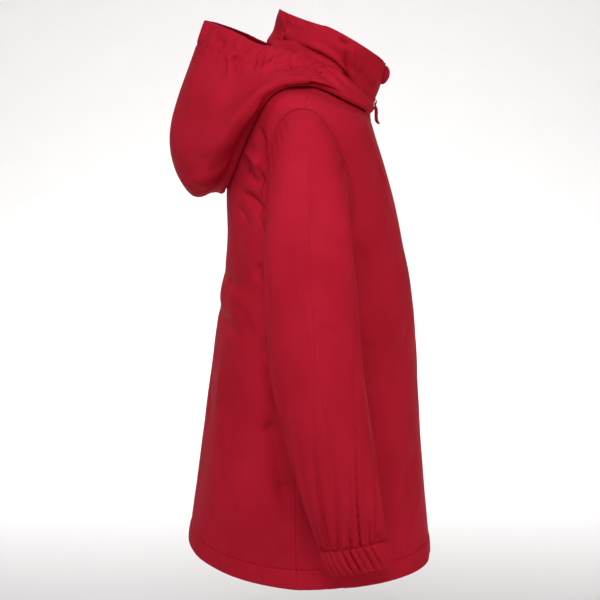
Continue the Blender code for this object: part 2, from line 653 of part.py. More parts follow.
def hood_layers(stations):
    """Rows of the right half of the hood: brim, upper layer, fold, under layer, neck seam."""
    table = list(HOOD_STATIONS.values())
    beyond = dict(zip(HOOD_COLUMNS, table[-2]))
    beyond.update(brim_x=-beyond["brim_x"], belly_x=-beyond["belly_x"],
                  fold_angle=360.0 - beyond["fold_angle"], neck_angle=360.0 - beyond["neck_angle"])
    sizes = smooth_table(table + [list(beyond.values())], stations)
    brim = np.stack(list(columns(sizes, HOOD_COLUMNS, "brim_x", "brim_y", "brim_z")), axis=-1)
    belly = np.stack(list(columns(sizes, HOOD_COLUMNS, "belly_x", "belly_y", "belly_z")), axis=-1)
    fullness, fold_level, fold_top = columns(sizes, HOOD_COLUMNS,
                                             "lower_full", "fold_level", "fold_top")
    fold_angle, neck_angle = columns(np.radians(sizes), HOOD_COLUMNS, "fold_angle", "neck_angle")
    fold = from_surface(body_surface, fold_angle, fold_level, fold_top)
    away = belly * np.array((1.0, 1.0, 0.0))
    away /= np.linalg.norm(away, axis=1, keepdims=True)
    lower = belly + (fold - belly) * LOWER_SHARE + away * fullness[:, None]
    rows = []
    knots = np.stack((brim, belly, lower, fold)).reshape(4, -1)
    for share in HOOD_UPPER_ROWS:
        rows.append(smooth_table(knots, share).reshape(-1, 3))
    rows.append(from_surface(body_surface, fold_angle, fold_level - HOOD_BEND,
                             0.5 * (fold_top + HOOD_UNDER_LIFT)))
    rows.append(from_surface(body_surface, fold_angle, fold_level, HOOD_UNDER_LIFT))
    for share in np.linspace(0.0, 1.0, HOOD_UNDER_ROWS + 1)[1:]:
        angle = fold_angle + (neck_angle - fold_angle) * share
        level = fold_level + (HOOD_NECK_LEVEL - fold_level) * share
        lift = (HOOD_UNDER_LIFT * (1.0 - share) + HOOD_SEAM_LIFT * share
                + HOOD_UNDER_ARCH * math.sin(math.pi * share))
        rows.append(from_surface(body_surface, angle, level, lift))
    return np.array(rows)


def build_hood(material):
    """The two halves of the folded hood, which meet in the centre seam."""
    outer = hood_layers(np.linspace(0.0, len(HOOD_STATIONS) - 1.0, HOOD_STEPS + 1))
    normals = -grid_normals(outer, closed=False)
    along = np.concatenate((np.zeros((1, outer.shape[1])),
                            np.cumsum(np.linalg.norm(np.diff(outer, axis=0), axis=-1), axis=0)))
    thickness = HOOD_WALL + np.where(along < BRIM_CASING, CASING_EXTRA, 0.0)
    inner = outer - normals * thickness[..., None]
    for grid in (outer, inner):
        grid[:, -1, 0] = -0.5 * SEAM_GAP
    wall_solid("hood_right", outer, inner, material)
    wall_solid("hood_left", mirrored(outer), mirrored(inner), material)


# ------------------------------------------------------------------------------------------
# Zip and chin guard
# ------------------------------------------------------------------------------------------

def zip_points(across, place, depth):
    """Points by the zip: across from the centre plane, place up it, depth below the cloth."""
    across, place, depth = np.broadcast_arrays(*(np.asarray(value, float)
                                                 for value in (across, place, depth)))
    neck = LEVEL["neck"]
    level, height = np.minimum(place, neck), np.maximum(place - neck, 0.0)
    rings = np.array(list(BODY_RINGS.values()))
    body_width, = columns(smooth_table(rings, level), BODY_COLUMNS, "half_width")
    collar_width, = columns(collar_sizes(height), BODY_COLUMNS, "half_width")
    angle = np.arcsin(-across / np.where(place <= neck, body_width, collar_width))
    on_collar = (place > neck)[..., None]
    points = np.where(on_collar, collar_surface(angle, height), body_surface(angle, level))
    share = np.clip((place - neck) / NECK_BLEND + 0.5, 0.0, 1.0)[..., None]
    normals = (surface_normals(plain_body, angle, level) * (1.0 - share)
               + surface_normals(plain_collar, angle, height) * share)
    normals /= np.linalg.norm(normals, axis=-1, keepdims=True)
    return points - normals * depth[..., None]


def tape_depth(place):
    """Depth of the tape's face: just behind the front's wall, then behind the collar's."""
    return np.interp(place, TAPE_DEEPENS, (CLOTH + SEAM_GAP, COLLAR_WALL + 2.0 * SEAM_GAP))


def teeth_spread(place):
    """How far the open rows of teeth lean away from the centre plane above the slider."""
    return np.interp(place, (SLIDER_HEAD, ZIP_HEAD), (0.0, TEETH_PARTED))


def zip_places(foot, head):
    """Rows along the zip between two places: the fronts' own rows, then the collar's."""
    levels, opening = body_levels()
    body = panel_levels(levels, opening, np.zeros(1))[:, 0]
    knots = np.concatenate((body, LEVEL["neck"] + np.array(COLLAR_ZIP_ROWS)))
    inside = knots[(knots > foot + ZIP_ROW_CLEARANCE) & (knots < head - ZIP_ROW_CLEARANCE)]
    return np.concatenate(((foot,), inside, (head,)))


def build_tapes(material):
    """The two woven tapes behind the fronts' edges."""
    places = zip_places(ZIP_FOOT, ZIP_HEAD)[:, None]
    inner_edge = CHAIN_HALF_WIDTH + SEAM_GAP + teeth_spread(places)
    across = -(inner_edge + TAPE_WIDTH * np.array((0.0, 0.5, 1.0)))
    face = zip_points(across, places, tape_depth(places))
    back = zip_points(across, places, tape_depth(places) + TAPE_WALL)
    wall_solid("zip_tape_right", face, back, material)
    wall_solid("zip_tape_left", mirrored(face), mirrored(back), material)


def build_teeth(material):
    """The closed chain up to the slider, and the two open rows of teeth above it."""
    places = zip_places(ZIP_FOOT, SLIDER_FOOT - CHAIN_END)[:, None]
    across = CHAIN_HALF_WIDTH * np.array((-1.0, 0.0, 1.0))
    back_depth = tape_depth(places) + 0.5 * TAPE_WALL
    chain_face = zip_points(across, places, CHAIN_FACE)
    chain_back = zip_points(across, places, back_depth)
    wall_solid("zip_chain", chain_face, chain_back, material)
    places = zip_places(SLIDER_HEAD + CHAIN_END, ZIP_HEAD)[:, None]
    lean = teeth_spread(places)
    across = -np.concatenate((SEAM_GAP + lean, CHAIN_HALF_WIDTH + lean), axis=1)
    face = zip_points(across, places, CHAIN_FACE)
    back = zip_points(across, places, tape_depth(places) + 0.5 * TAPE_WALL)
    wall_solid("zip_teeth_right", face, back, material)
    wall_solid("zip_teeth_left", mirrored(face), mirrored(back), material)


def zip_frame(place):
    """A point of the zip's centre line, and its outward and upward unit directions."""
    point = zip_points(0.0, place, 0.0)
    outward = zip_points(0.0, place, -1.0) - point
    upward = np.cross(outward, np.array((1.0, 0.0, 0.0)))
    return point, outward, upward * math.copysign(1.0, upward[2])


def prism(rings):
    """Points and triangles of a solid skinned over rings of equal count, with flat ends."""
    points = [point for ring in rings for point in ring]
    count = len(rings[0])
    numbers = [list(range(count * index, count * (index + 1))) for index in range(len(rings))]
    triangles = []
    for first, second in zip(numbers, numbers[1:]):
        triangles += joined_rows(first, second, True)
    for ring, flip in ((numbers[0], False), (numbers[-1], True)):
        fan = [(ring[0], ring[index], ring[index + 1]) for index in range(1, count - 1)]
        triangles += [triangle[::-1] for triangle in fan] if flip else fan
    return np.array(points), triangles


def slider_frame():
    """The middle of the slider on the cloth's face, its outward and upward directions."""
    return zip_frame(0.5 * (SLIDER_FOOT + SLIDER_HEAD))


def puller_hinge():
    """Where the puller's cross-bar lies inside the bail."""
    point, outward, upward = slider_frame()
    along = (HINGE_SHARE - 0.5) * (SLIDER_HEAD - SLIDER_FOOT) * COLLAR_STAND
    return point + upward * along + outward * HINGE_RISE


def join_solid(solid, shape, operation):
    """Add a shape to a solid, or take it away, and keep the shape itself out of the part."""
    shape.hide_render = True
    shape.display_type = "WIRE"
    change = solid.modifiers.new(shape.name, "BOOLEAN")
    change.operation = operation
    change.solver = "EXACT"
    change.object = shape


def slider_body(material):
    """The plates before and behind the tapes, joined by the web that parts the teeth."""
    face = tape_depth(SLIDER_HEAD)
    plate_back = face - 1.5 * SEAM_GAP
    rear_front = face + TAPE_WALL + SEAM_GAP
    rear_back = rear_front + SLIDER_REAR_WALL
    outline = ((1.0, -SLIDER_RISE), (1.0, plate_back), (None, plate_back), (None, rear_front),
               (SLIDER_REAR_SHARE, rear_front), (SLIDER_REAR_SHARE, rear_back))
    point, outward, upward = slider_frame()
    half_length = 0.5 * (SLIDER_HEAD - SLIDER_FOOT) * COLLAR_STAND
    rings = []
    for share, narrow in SLIDER_SECTIONS:
        right = [np.array((-(SLIDER_WEB if wide is None else SLIDER_HALF_WIDTH * wide * narrow),
                           0.0, 0.0)) - outward * depth for wide, depth in outline]
        ring = right + [mirrored(corner) for corner in reversed(right)]
        rings.append([point + upward * half_length * share + corner for corner in ring])
    return add_solid("zip_slider", *prism(rings), material)


def bail_arch(material):
    """The small arch on the slider that holds the puller's cross-bar."""
    _, outward, upward = slider_frame()
    window = 0.5 * BAIL_WINDOW
    reach = window + BAIL_BAR
    along, out = BAIL_CORNER
    half = ((reach - along, BAIL_RISE), (reach, BAIL_RISE - out), (reach, BAIL_FOOT),
            (window, BAIL_FOOT), (window, BAIL_RISE - BAIL_BAR))
    profile = half + tuple((-place, rise) for place, rise in reversed(half))
    middle = puller_hinge() - outward * HINGE_RISE
    ring = [middle + upward * place + outward * rise for place, rise in profile]
    sides = [[corner + np.array((x, 0.0, 0.0)) for corner in ring]
             for x in (-BAIL_HALF_WIDTH, BAIL_HALF_WIDTH)]
    count = len(profile)
    triangles = joined_rows(list(range(count)), list(range(count, 2 * count)), True)
    cap = [corners for a, b, c, d in ((0, 1, 8, 9), (1, 4, 5, 8), (1, 2, 3, 4), (5, 6, 7, 8))
           for corners in ((a, b, c), (a, c, d))]
    triangles += cap
    triangles += [tuple(corner + count for corner in corners[::-1]) for corners in cap]
    return add_solid("bail_shape", np.array(sides[0] + sides[1]), triangles, material)


def build_slider(material):
    """The slider with its bail."""
    join_solid(slider_body(material), bail_arch(material), "UNION")


def build_puller(material):
    """The moulded puller: an eye round the bail, and a slim tongue with a hooked end."""
    hinge = puller_hinge()
    rows = []
    for down, forward, half_width, half_thickness in PULLER_ROWS:
        rows.append([hinge + np.array((x, -forward - t, -down))
                     for x, t in ((-half_width, -half_thickness), (half_width, -half_thickness),
                                  (half_width, half_thickness), (-half_width, half_thickness))])
    puller = add_solid("zip_puller", *prism(rows), material, origin=tuple(hinge))
    window = [[hinge + np.array((x, y, z)) for x, z in
               ((-EYE_HALF_WIDTH, -EYE_BAR), (EYE_HALF_WIDTH, -EYE_BAR),
                (EYE_HALF_WIDTH, -PULLER_EYE), (-EYE_HALF_WIDTH, -PULLER_EYE))]
              for y in (-EYE_DEPTH, EYE_DEPTH)]
    join_solid(puller, add_solid("eye_shape", *prism(window), material), "DIFFERENCE")


def build_chin_guard(material):
    """A folded tab standing over the top of the right row of teeth, round in front."""
    places = np.linspace(GUARD_FOOT, GUARD_HEAD, GUARD_SECTIONS)
    bulge = np.sqrt(1.0 - np.linspace(-GUARD_ROUND, GUARD_ROUND, GUARD_SECTIONS)**2)
    root = CHAIN_FACE - 2.0 * SEAM_GAP - GUARD_LIFT
    rings = []
    for place, swell in zip(places, bulge):
        depths = [root if share is None else -GUARD_REACH * swell * share - GUARD_LIFT
                  for _, share in GUARD_OUTLINE]
        rings.append(zip_points([across for across, _ in GUARD_OUTLINE], place, depths))
    add_solid("chin_guard", *prism(rings), material)


def main():
    """Build every piece of the jacket."""
    for thing in list(bpy.data.objects):
        bpy.data.objects.remove(thing, do_unlink=True)
    cloth = cloth_material("red_coated_nylon", RED)
    shade = cloth_material("red_coated_nylon_trim", RED_SHADE)
    build_back(cloth)
    build_fronts(cloth)
    wrist = build_sleeve(cloth)
    build_cuff(shade, wrist)
    build_collar(shade)
    build_hood(cloth)
    build_chin_guard(shade)
    tape = cloth_material("red_polyester_tape", DARK_RED, roughness=0.7)
    build_tapes(tape)
    build_teeth(cloth_material("red_coil_chain", DARK_RED, roughness=0.5))
    build_slider(cloth_material("red_lacquered_slider", DARK_RED, roughness=0.35, metallic=0.6))
    build_puller(cloth_material("red_moulded_puller", RED_SHADE, roughness=0.4))


if __name__ == "__main__":
    main()
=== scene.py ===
"""Looks of a kids rain jacket of coated nylon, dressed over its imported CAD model.

Frame: +X is the wearer's left, the front faces -Y and +Z is up.  Lengths are metres unless a name
ends in _mm.  Every cloth piece repeats the form of the CAD node it stands for on a finer mesh and
adds what that solid leaves out: creases, gathers, seams and stitches.
"""

import logging
import math
from dataclasses import dataclass, field, replace
from enum import Enum
from typing import Callable, Iterable, Sequence

import bpy
import numpy as np
from mathutils import Matrix


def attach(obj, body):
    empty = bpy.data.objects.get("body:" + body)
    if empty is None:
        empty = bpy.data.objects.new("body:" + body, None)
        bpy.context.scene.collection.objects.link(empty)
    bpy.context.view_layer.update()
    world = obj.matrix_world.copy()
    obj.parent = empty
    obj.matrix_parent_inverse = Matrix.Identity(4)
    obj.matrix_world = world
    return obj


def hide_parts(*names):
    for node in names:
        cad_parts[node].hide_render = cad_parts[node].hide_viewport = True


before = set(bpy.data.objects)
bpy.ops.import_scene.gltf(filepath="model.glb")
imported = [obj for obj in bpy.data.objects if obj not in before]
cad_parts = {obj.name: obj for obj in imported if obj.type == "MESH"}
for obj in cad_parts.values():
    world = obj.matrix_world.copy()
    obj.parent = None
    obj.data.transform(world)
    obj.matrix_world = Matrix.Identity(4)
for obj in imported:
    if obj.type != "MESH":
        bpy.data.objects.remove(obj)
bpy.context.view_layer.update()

LOG = logging.getLogger("rain_jacket")

Array = np.ndarray
Surface = Callable[[Array, Array], Array]
Material = bpy.types.Material
Tree = bpy.types.NodeTree
Socket = bpy.types.NodeSocket

MM = 0.001
QUARTER = 0.5 * math.pi
FULL = 2.0 * math.pi
JACKET = "jacket"
ZIP_PULL = "zip_pull"
TO_LEFT = np.array((1.0, 0.0, 0.0))     # the wearer's left


class Side(Enum):
    """A half of the jacket; the value multiplies X of points made for the wearer's right."""

    RIGHT = 1.0
    LEFT = -1.0

    @property
    def word(self) -> str:
        """The side's word in piece names."""
        return self.name.lower()


class Held(Enum):
    HUNG = "hung"
    GATHERED = "gathered"
    FOLDED = "folded"


# ---- Curves and surfaces ---------------------------------------------------

def smooth_table(rows: Sequence, places: Array) -> Array:
    """Values of a table's columns on a smooth curve through its rows.

    Args:
        rows: the table, one row a knot.
        places: fractional row numbers.

    Returns:
        One row of values for each place.
    """
    rows = np.asarray(rows, dtype=float)
    places = np.asarray(places, dtype=float)
    below = np.clip(np.floor(places).astype(int), 0, len(rows) - 2)
    step = (places - below)[..., None]
    padded = np.vstack((2.0 * rows[0] - rows[1], rows, 2.0 * rows[-1] - rows[-2]))
    before, start, end, after = (padded[below + shift] for shift in range(4))
    start_slope = 0.5 * (end - before)
    end_slope = 0.5 * (after - start)
    return ((2.0 * step**3 - 3.0 * step**2 + 1.0) * start
            + (step**3 - 2.0 * step**2 + step) * start_slope
            + (3.0 * step**2 - 2.0 * step**3) * end
            + (step**3 - step**2) * end_slope)


def smooth_step(value: Array) -> Array:
    """0 below 0, 1 above 1 and an even bend between them."""
    value = np.clip(value, 0.0, 1.0)
    return value * value * (3.0 - 2.0 * value)


def bump(distance: Array, width: float) -> Array:
    """A bell of height 1 that has faded at about 1.5 widths."""
    return np.exp(-(distance / width)**2)


def arrays(*values: Array | float) -> Sequence[Array]:
    """The values as float arrays of one shape."""
    return np.broadcast_arrays(*(np.asarray(value, float) for value in values))


def full_turn(count: int) -> Array:
    """Evenly spaced angles of a closed ring of points."""
    return np.linspace(0.0, FULL, count, endpoint=False)


def off_front(angle: Array) -> Array:
    """Radians from the front to a ring angle, on either side."""
    return np.abs((angle + math.pi) % FULL - math.pi)


def squared(value: Array, power: float) -> Array:
    """A sine or cosine made squarer by a power below 1, its sign kept."""
    return np.sign(value) * np.abs(value)**power


def run_lengths(line: Array) -> Array:
    """Distance along a line from its first point to each point."""
    return np.concatenate(((0.0,), np.cumsum(np.linalg.norm(np.diff(line, axis=0), axis=1))))


def unit(vectors: Array) -> Array:
    """The vectors at length 1."""
    return vectors / np.linalg.norm(vectors, axis=-1, keepdims=True)


def surface_normals(surface: Surface, first: Array, second: Array) -> Array:
    """Outward unit normals of a surface at values of its two parameters."""
    nudge = 1e-4
    along_first = surface(first + nudge, second) - surface(first - nudge, second)
    along_second = surface(first, second + nudge) - surface(first, second - nudge)
    return unit(np.cross(along_second, along_first))


def grid_normals(grid: Array, closed: bool) -> Array:
    """Unit normals of a grid of points; in a closed one the last column meets the first."""
    down = np.gradient(grid, axis=0)
    if closed:
        along = np.roll(grid, -1, axis=1) - np.roll(grid, 1, axis=1)
    else:
        along = np.gradient(grid, axis=1)
    return unit(np.cross(down, along))


def stepped(knots: Sequence[float], counts: Sequence[int]) -> Array:
    """Values from knot to knot, with a number of even steps in each span."""
    parts = [np.linspace(start, end, count, endpoint=False)
             for start, end, count in zip(knots, knots[1:], counts)]
    return np.concatenate((*parts, (knots[-1],)))


def dense_ends(count: int, length_mm: float, fine_mm: Sequence[float] = (0.5, 1.1, 1.9),
               even_from_mm: float = 3.2) -> Array:
    """Shares of a length from 0 to 1: even steps, with finer ones by the seam at either end."""
    fine = np.array(fine_mm) / length_mm
    even_from = even_from_mm / length_mm
    return np.concatenate(((0.0,), fine, np.linspace(even_from, 1.0 - even_from, count + 1),
                           1.0 - fine[::-1], (1.0,)))


def mirrored(points: Array, side: Side) -> Array:
    """Points made for the wearer's right, on the given side."""
    return np.asarray(points) * np.array((side.value, 1.0, 1.0))


# ---- Relief of cloth -------------------------------------------------------

@dataclass(frozen=True)
class Crease:
    """A listed fold: a run over the cloth along which it rises or sinks.

    The path's numbers are in the piece's own terms, and depth and widths in mm.  A fold is wider
    on one side of its run by skew, rounder with a larger crisp, and fades over shares of its
    length at its two ends.
    """

    path: tuple[tuple[float, float], ...]
    depth: float
    width: float
    skew: float = 1.0
    crisp: float = 1.6
    fade: tuple[float, float] = (0.35, 0.35)

    def shaken(self, rng: np.random.Generator, scale: tuple[float, float]) -> "Crease":
        """The same fold as the other side of the jacket has it: a little moved, longer or flatter."""
        shift = rng.normal(0.0, 3.5, 2) / np.array(scale)
        bend = rng.normal(0.0, 1.2, (len(self.path), 2)) / np.array(scale)
        path = tuple(map(tuple, np.array(self.path) + shift + bend))
        return replace(self, path=path, depth=self.depth * rng.uniform(0.6, 1.15),
                       width=self.width * rng.uniform(0.85, 1.3), skew=self.skew**-1.0)

    def at(self, across: Array, up: Array, scale: tuple[float, float]) -> Array:
        """How far the cloth moves out.

        Args:
            across: first coordinate of the points, in mm.
            up: second coordinate of the points, in mm.
            scale: mm for one unit of the path's two numbers.

        Returns:
            The rise at each point, in mm.
        """
        knots = np.array(self.path) * np.array(scale)
        line = smooth_table(knots, np.linspace(0.0, len(knots) - 1.0, 5 * len(knots)))
        run = np.diff(line, axis=0)
        length = np.linalg.norm(run, axis=1)
        reach = 3.0 * self.width * max(1.0, self.skew)
        near = ((across > line[:, 0].min() - reach) & (across < line[:, 0].max() + reach)
                & (up > line[:, 1].min() - reach) & (up < line[:, 1].max() + reach))
        rise = np.zeros(np.shape(across))
        if not near.any():
            return rise
        from_start = np.stack((across[near], up[near]), axis=1)[:, None, :] - line[None, :-1]
        share = np.clip((from_start * run).sum(-1) / length**2, 0.0, 1.0)
        apart = np.linalg.norm(from_start - share[..., None] * run, axis=-1)
        nearest = (np.arange(len(apart)), apart.argmin(axis=1))
        turn = run[nearest[1]]
        left = turn[:, 0] * from_start[nearest][:, 1] - turn[:, 1] * from_start[nearest][:, 0] > 0.0
        width = np.where(left, self.width * self.skew, self.width)
        begun = np.concatenate(((0.0,), np.cumsum(length)))
        along = (begun[nearest[1]] + share[nearest] * length[nearest[1]]) / begun[-1]
        taper = np.ones(len(along))
        for distance, fade in ((along, self.fade[0]), (1.0 - along, self.fade[1])):
            if fade > 0.0:
                taper *= smooth_step(distance / fade)
        rise[near] = self.depth * taper * np.exp(-(apart[nearest] / width)**self.crisp)
        return rise


def creases(*rows: tuple) -> tuple[Crease, ...]:
    """The folds of a table whose rows are a fold's path, depth, width and so on."""
    return tuple(Crease(*row) for row in rows)


@dataclass(frozen=True)
class Drift:
    """Seeded unevenness of the cloth between the listed folds; sizes in mm."""

    size: float
    depth: float
    seed: int
    stretch: float = 1.0
    ridged: bool = False
    waves: int = 18

    def at(self, across: Array, up: Array) -> Array:
        """The rise at each point, in mm; ridged cloth breaks along crisp crests."""
        rng = np.random.default_rng(self.seed)
        total = 0.0
        for _ in range(self.waves):
            heading, phase = rng.uniform(0.0, FULL, 2)
            pace = FULL / self.size * rng.uniform(0.55, 1.5)
            total = total + np.cos(pace * (across * math.cos(heading)
                                           + up / self.stretch * math.sin(heading)) + phase)
        total /= math.sqrt(0.5 * self.waves)
        return self.depth * (0.8 - np.abs(total)) if self.ridged else self.depth * total


@dataclass(frozen=True)
class Gathers:
    """Uneven small folds that run away from an elastic or a gathering thread; sizes in mm."""

    count: int
    depth: float
    reach: float
    seed: int
    uneven: float = 0.35
    lean: float = 0.0       # radians of turn for each mm away

    def waver(self, turn: Array, modes: Iterable[int], seed: int) -> Array:
        """Smooth seeded noise round a full turn, of about unit size."""
        rng = np.random.default_rng(self.seed * 31 + seed)
        modes = list(modes)
        return sum(np.sin(mode * turn + rng.uniform(0.0, FULL)) * rng.uniform(0.6, 1.4)
                   for mode in modes) / math.sqrt(0.5 * len(modes))

    def at(self, turn: Array, away: Array) -> Array:
        """How far the cloth moves out, in mm, at turns along the elastic and mm away from it."""
        turn = turn - self.lean * away
        slow = range(2, max(5, self.count // 3))
        warp = sum(np.sin(mode * turn + 1.7 * mode + self.seed) / mode for mode in slow)
        phase = self.count * (turn + self.uneven * warp / math.sqrt(len(slow)))
        crest = np.abs(np.cos(0.5 * phase))**0.62
        quick = range(self.count // 3, self.count, 2)
        length = self.reach * np.exp(0.42 * self.waver(turn, quick, 1))
        size = 1.0 + 0.33 * self.waver(turn, quick, 2)
        return self.depth * size * (crest - 0.70) * np.exp(-(away / length)**1.5)


@dataclass(frozen=True)
class Relief:
    """All the relief of one piece, on both sides of the jacket."""

    creases: tuple[Crease, ...]
    drifts: tuple[Drift, ...]
    scale: tuple[float, float]
    seed: int

    def at(self, across: Array, up: Array, side: Side) -> Array:
        """The rise at each point, in mm, on the given side."""
        creases = self.creases
        drifts = self.drifts
        if side is Side.LEFT:
            rng = np.random.default_rng(self.seed)
            creases = tuple(crease.shaken(rng, self.scale) for crease in creases)
            drifts = tuple(replace(drift, seed=drift.seed + 500) for drift in drifts)
        rise = sum(crease.at(across, up, self.scale) for crease in creases)
        return rise + sum(drift.at(across, up) for drift in drifts)

    def around(self, angle: Array, across: Array, up: Array, blend: float) -> Array:
        """The rise round a whole ring, whose two sides blend over some degrees at their seams."""
        right = smooth_step(0.5 + np.sin(angle) / (2.0 * math.sin(math.radians(blend))))
        return (self.at(across, up, Side.RIGHT) * right
                + self.at(across, up, Side.LEFT) * (1.0 - right))


# ---- Meshes ----------------------------------------------------------------

@dataclass
class Mesh:
    """Points and faces of a piece under construction, with cloth coordinates in mm."""

    points: list[Array] = field(default_factory=list)
    faces: list[Array] = field(default_factory=list)
    cloth: list[Array] = field(default_factory=list)
    slots: list[Array] = field(default_factory=list)
    count: int = 0

    def add(self, points: Array, faces: Array, cloth: Array | None = None, slot: int = 0) -> None:
        """Add points and four-cornered faces that number them from 0.

        Args:
            points: the points, one row each.
            faces: their numbers, four to a face; a triangle repeats its last number.
            cloth: cloth coordinates of the points, in mm.
            slot: number of the material slot.
        """
        points = np.asarray(points, float).reshape(-1, 3)
        faces = np.asarray(faces, int).reshape(-1, 4)
        self.points.append(points)
        self.faces.append(faces + self.count)
        self.cloth.append(np.zeros((len(points), 2)) if cloth is None else cloth.reshape(-1, 2))
        self.slots.append(np.full(len(faces), slot))
        self.count += len(points)

    def join(self, faces: Array, slot: int = 0) -> None:
        """Add faces between points that the mesh has."""
        self.faces.append(np.asarray(faces, int))
        self.slots.append(np.full(len(faces), slot))

    def build(self, name: str, materials: Sequence[Material]) -> bpy.types.Object:
        """Make the object, its faces outward, with a material for each slot."""
        points = np.concatenate(self.points)
        faces = np.concatenate(self.faces)
        cloth = np.concatenate(self.cloth)
        slots = np.concatenate(self.slots)
        corners = points[faces]
        volume = sum(np.einsum("ij,ij->i", corners[:, 0],
                               np.cross(corners[:, second], corners[:, second + 1])).sum()
                     for second in (1, 2))
        if volume < 0.0:
            faces = faces[:, ::-1]
        mesh = bpy.data.meshes.new(name)
        mesh.from_pydata(points.tolist(), [], [list(dict.fromkeys(face))
                                               for face in faces.tolist()])
        layer = mesh.uv_layers.new(name="UVMap")
        numbers = np.empty(len(mesh.loops), int)
        mesh.loops.foreach_get("vertex_index", numbers)
        layer.data.foreach_set("uv", cloth[numbers].astype(np.float32).ravel())
        for material in materials:
            mesh.materials.append(material)
        mesh.polygons.foreach_set("material_index", slots.astype(np.int32))
        mesh.shade_smooth()
        mesh.set_sharp_from_angle(angle=math.radians(48.0))
        mesh.update()
        made = bpy.data.objects.new(name, mesh)
        bpy.context.scene.collection.objects.link(made)
        return made


def dress(mesh: Mesh, name: str, materials: Sequence[Material], node: str,
          body: str = JACKET) -> bpy.types.Object:
    """Make the object that a CAD node gets as its looks.

    Args:
        mesh: its points and faces.
        name: the object's name.
        materials: one for each slot of the mesh.
        node: the CAD node that it replaces.
        body: the body that carries it.

    Returns:
        The new object.
    """
    made = mesh.build(name, materials)
    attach(made, body)
    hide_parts(node)
    LOG.info("%s: %d faces", name, len(made.data.polygons))
    return made


def quads(rows: int, columns: int, closed: bool) -> Array:
    """Faces of a grid whose points are numbered row by row."""
    last = columns if closed else columns - 1
    row, column = np.meshgrid(np.arange(rows - 1), np.arange(last), indexing="ij")
    right = (column + 1) % columns
    return np.stack((row * columns + column, row * columns + right,
                     (row + 1) * columns + right, (row + 1) * columns + column), -1).reshape(-1, 4)


def cloth_mm(grid: Array) -> Array:
    """Cloth coordinates of a grid of points: mm along its middle row, and mm up its columns."""
    across = np.linalg.norm(np.diff(grid, axis=1), axis=-1) / MM
    across = np.concatenate((np.zeros((len(grid), 1)), np.cumsum(across, axis=1)), axis=1)
    across -= across[:, across.shape[1] // 2][:, None]
    up = np.linalg.norm(np.diff(grid, axis=0), axis=-1) / MM
    up = np.concatenate((np.zeros((1, grid.shape[1])), np.cumsum(up, axis=0)))
    return np.stack((across, up), axis=-1)


def picked(count: int, step: int) -> Array:
    """Numbers from 0 to the last one, about a step apart."""
    return np.unique(np.round(np.linspace(0, count - 1, max(2, (count - 1) // step + 1))).astype(int))


def dips(grid: Array, normals: Array, step: int, closed: bool, most: float = 0.0025) -> Array:
    """How far the surface within a step of each point sinks below it, at most; 0 at the rims.

    An inner face that is moved in by as much stays inside the outer one.
    """
    rows, columns = grid.shape[:2]
    deepest = np.zeros((rows, columns))
    for down in (-step, 0, step):
        for along in (-step, 0, step):
            row = np.clip(np.arange(rows) + down, 0, rows - 1)
            column = np.arange(columns) + along
            column = column % columns if closed else np.clip(column, 0, columns - 1)
            near = grid[row[:, None], column[None]]
            deepest = np.maximum(deepest, -((near - grid) * normals).sum(axis=-1))
    deepest[[0, -1]] = 0.0
    if not closed:
        deepest[:, [0, -1]] = 0.0
    return np.minimum(deepest, most)


def wall(mesh: Mesh, outer: Array, normals: Array, thickness: Array, closed: bool = False,
         step: int = 3) -> None:
    """Add a closed wall of cloth, its outer face in slot 0 and a plainer inner face in slot 1.

    Args:
        mesh: where it goes.
        outer: grid of points on the outer face.
        normals: outward directions at the points.
        thickness: of the wall at the points.
        closed: whether the last column meets the first.
        step: rows and columns of the outer face for one of the inner face.
    """
    rows, columns = outer.shape[:2]
    inner = outer - normals * (thickness + dips(outer, normals, step, closed))[..., None]
    row_picks = picked(rows, step)
    column_picks = np.arange(0, columns, step) if closed else picked(columns, step)
    start = mesh.count
    mesh.add(outer, quads(rows, columns, closed), cloth_mm(outer))
    plain = inner[row_picks[:, None], column_picks[None]]
    within = mesh.count
    mesh.add(plain, quads(*plain.shape[:2], closed)[:, ::-1], cloth_mm(plain), slot=1)
    numbers = np.arange(rows * columns).reshape(rows, columns) + start
    fewer = np.arange(plain.shape[0] * plain.shape[1]).reshape(plain.shape[:2]) + within
    rims = [(numbers[0], fewer[0], column_picks), (numbers[-1], fewer[-1], column_picks)]
    if not closed:
        rims += [(numbers[:, 0], fewer[:, 0], row_picks), (numbers[:, -1], fewer[:, -1], row_picks)]
    turned = (False, True, True, False)
    for (edge, inside, picks), turn in zip(rims, turned):
        nearest = np.abs(np.arange(len(edge))[:, None] - picks[None]).argmin(axis=1)
        if closed:
            last = len(edge) - np.arange(len(edge)) < np.abs(np.arange(len(edge)) - picks[-1])
            nearest = np.where(last, 0, nearest)
            edge, nearest = np.append(edge, edge[0]), np.append(nearest, nearest[0])
        strip = np.stack((edge[:-1], inside[nearest[:-1]], inside[nearest[1:]], edge[1:]), axis=-1)
        mesh.join(strip[:, ::-1] if turn else strip)


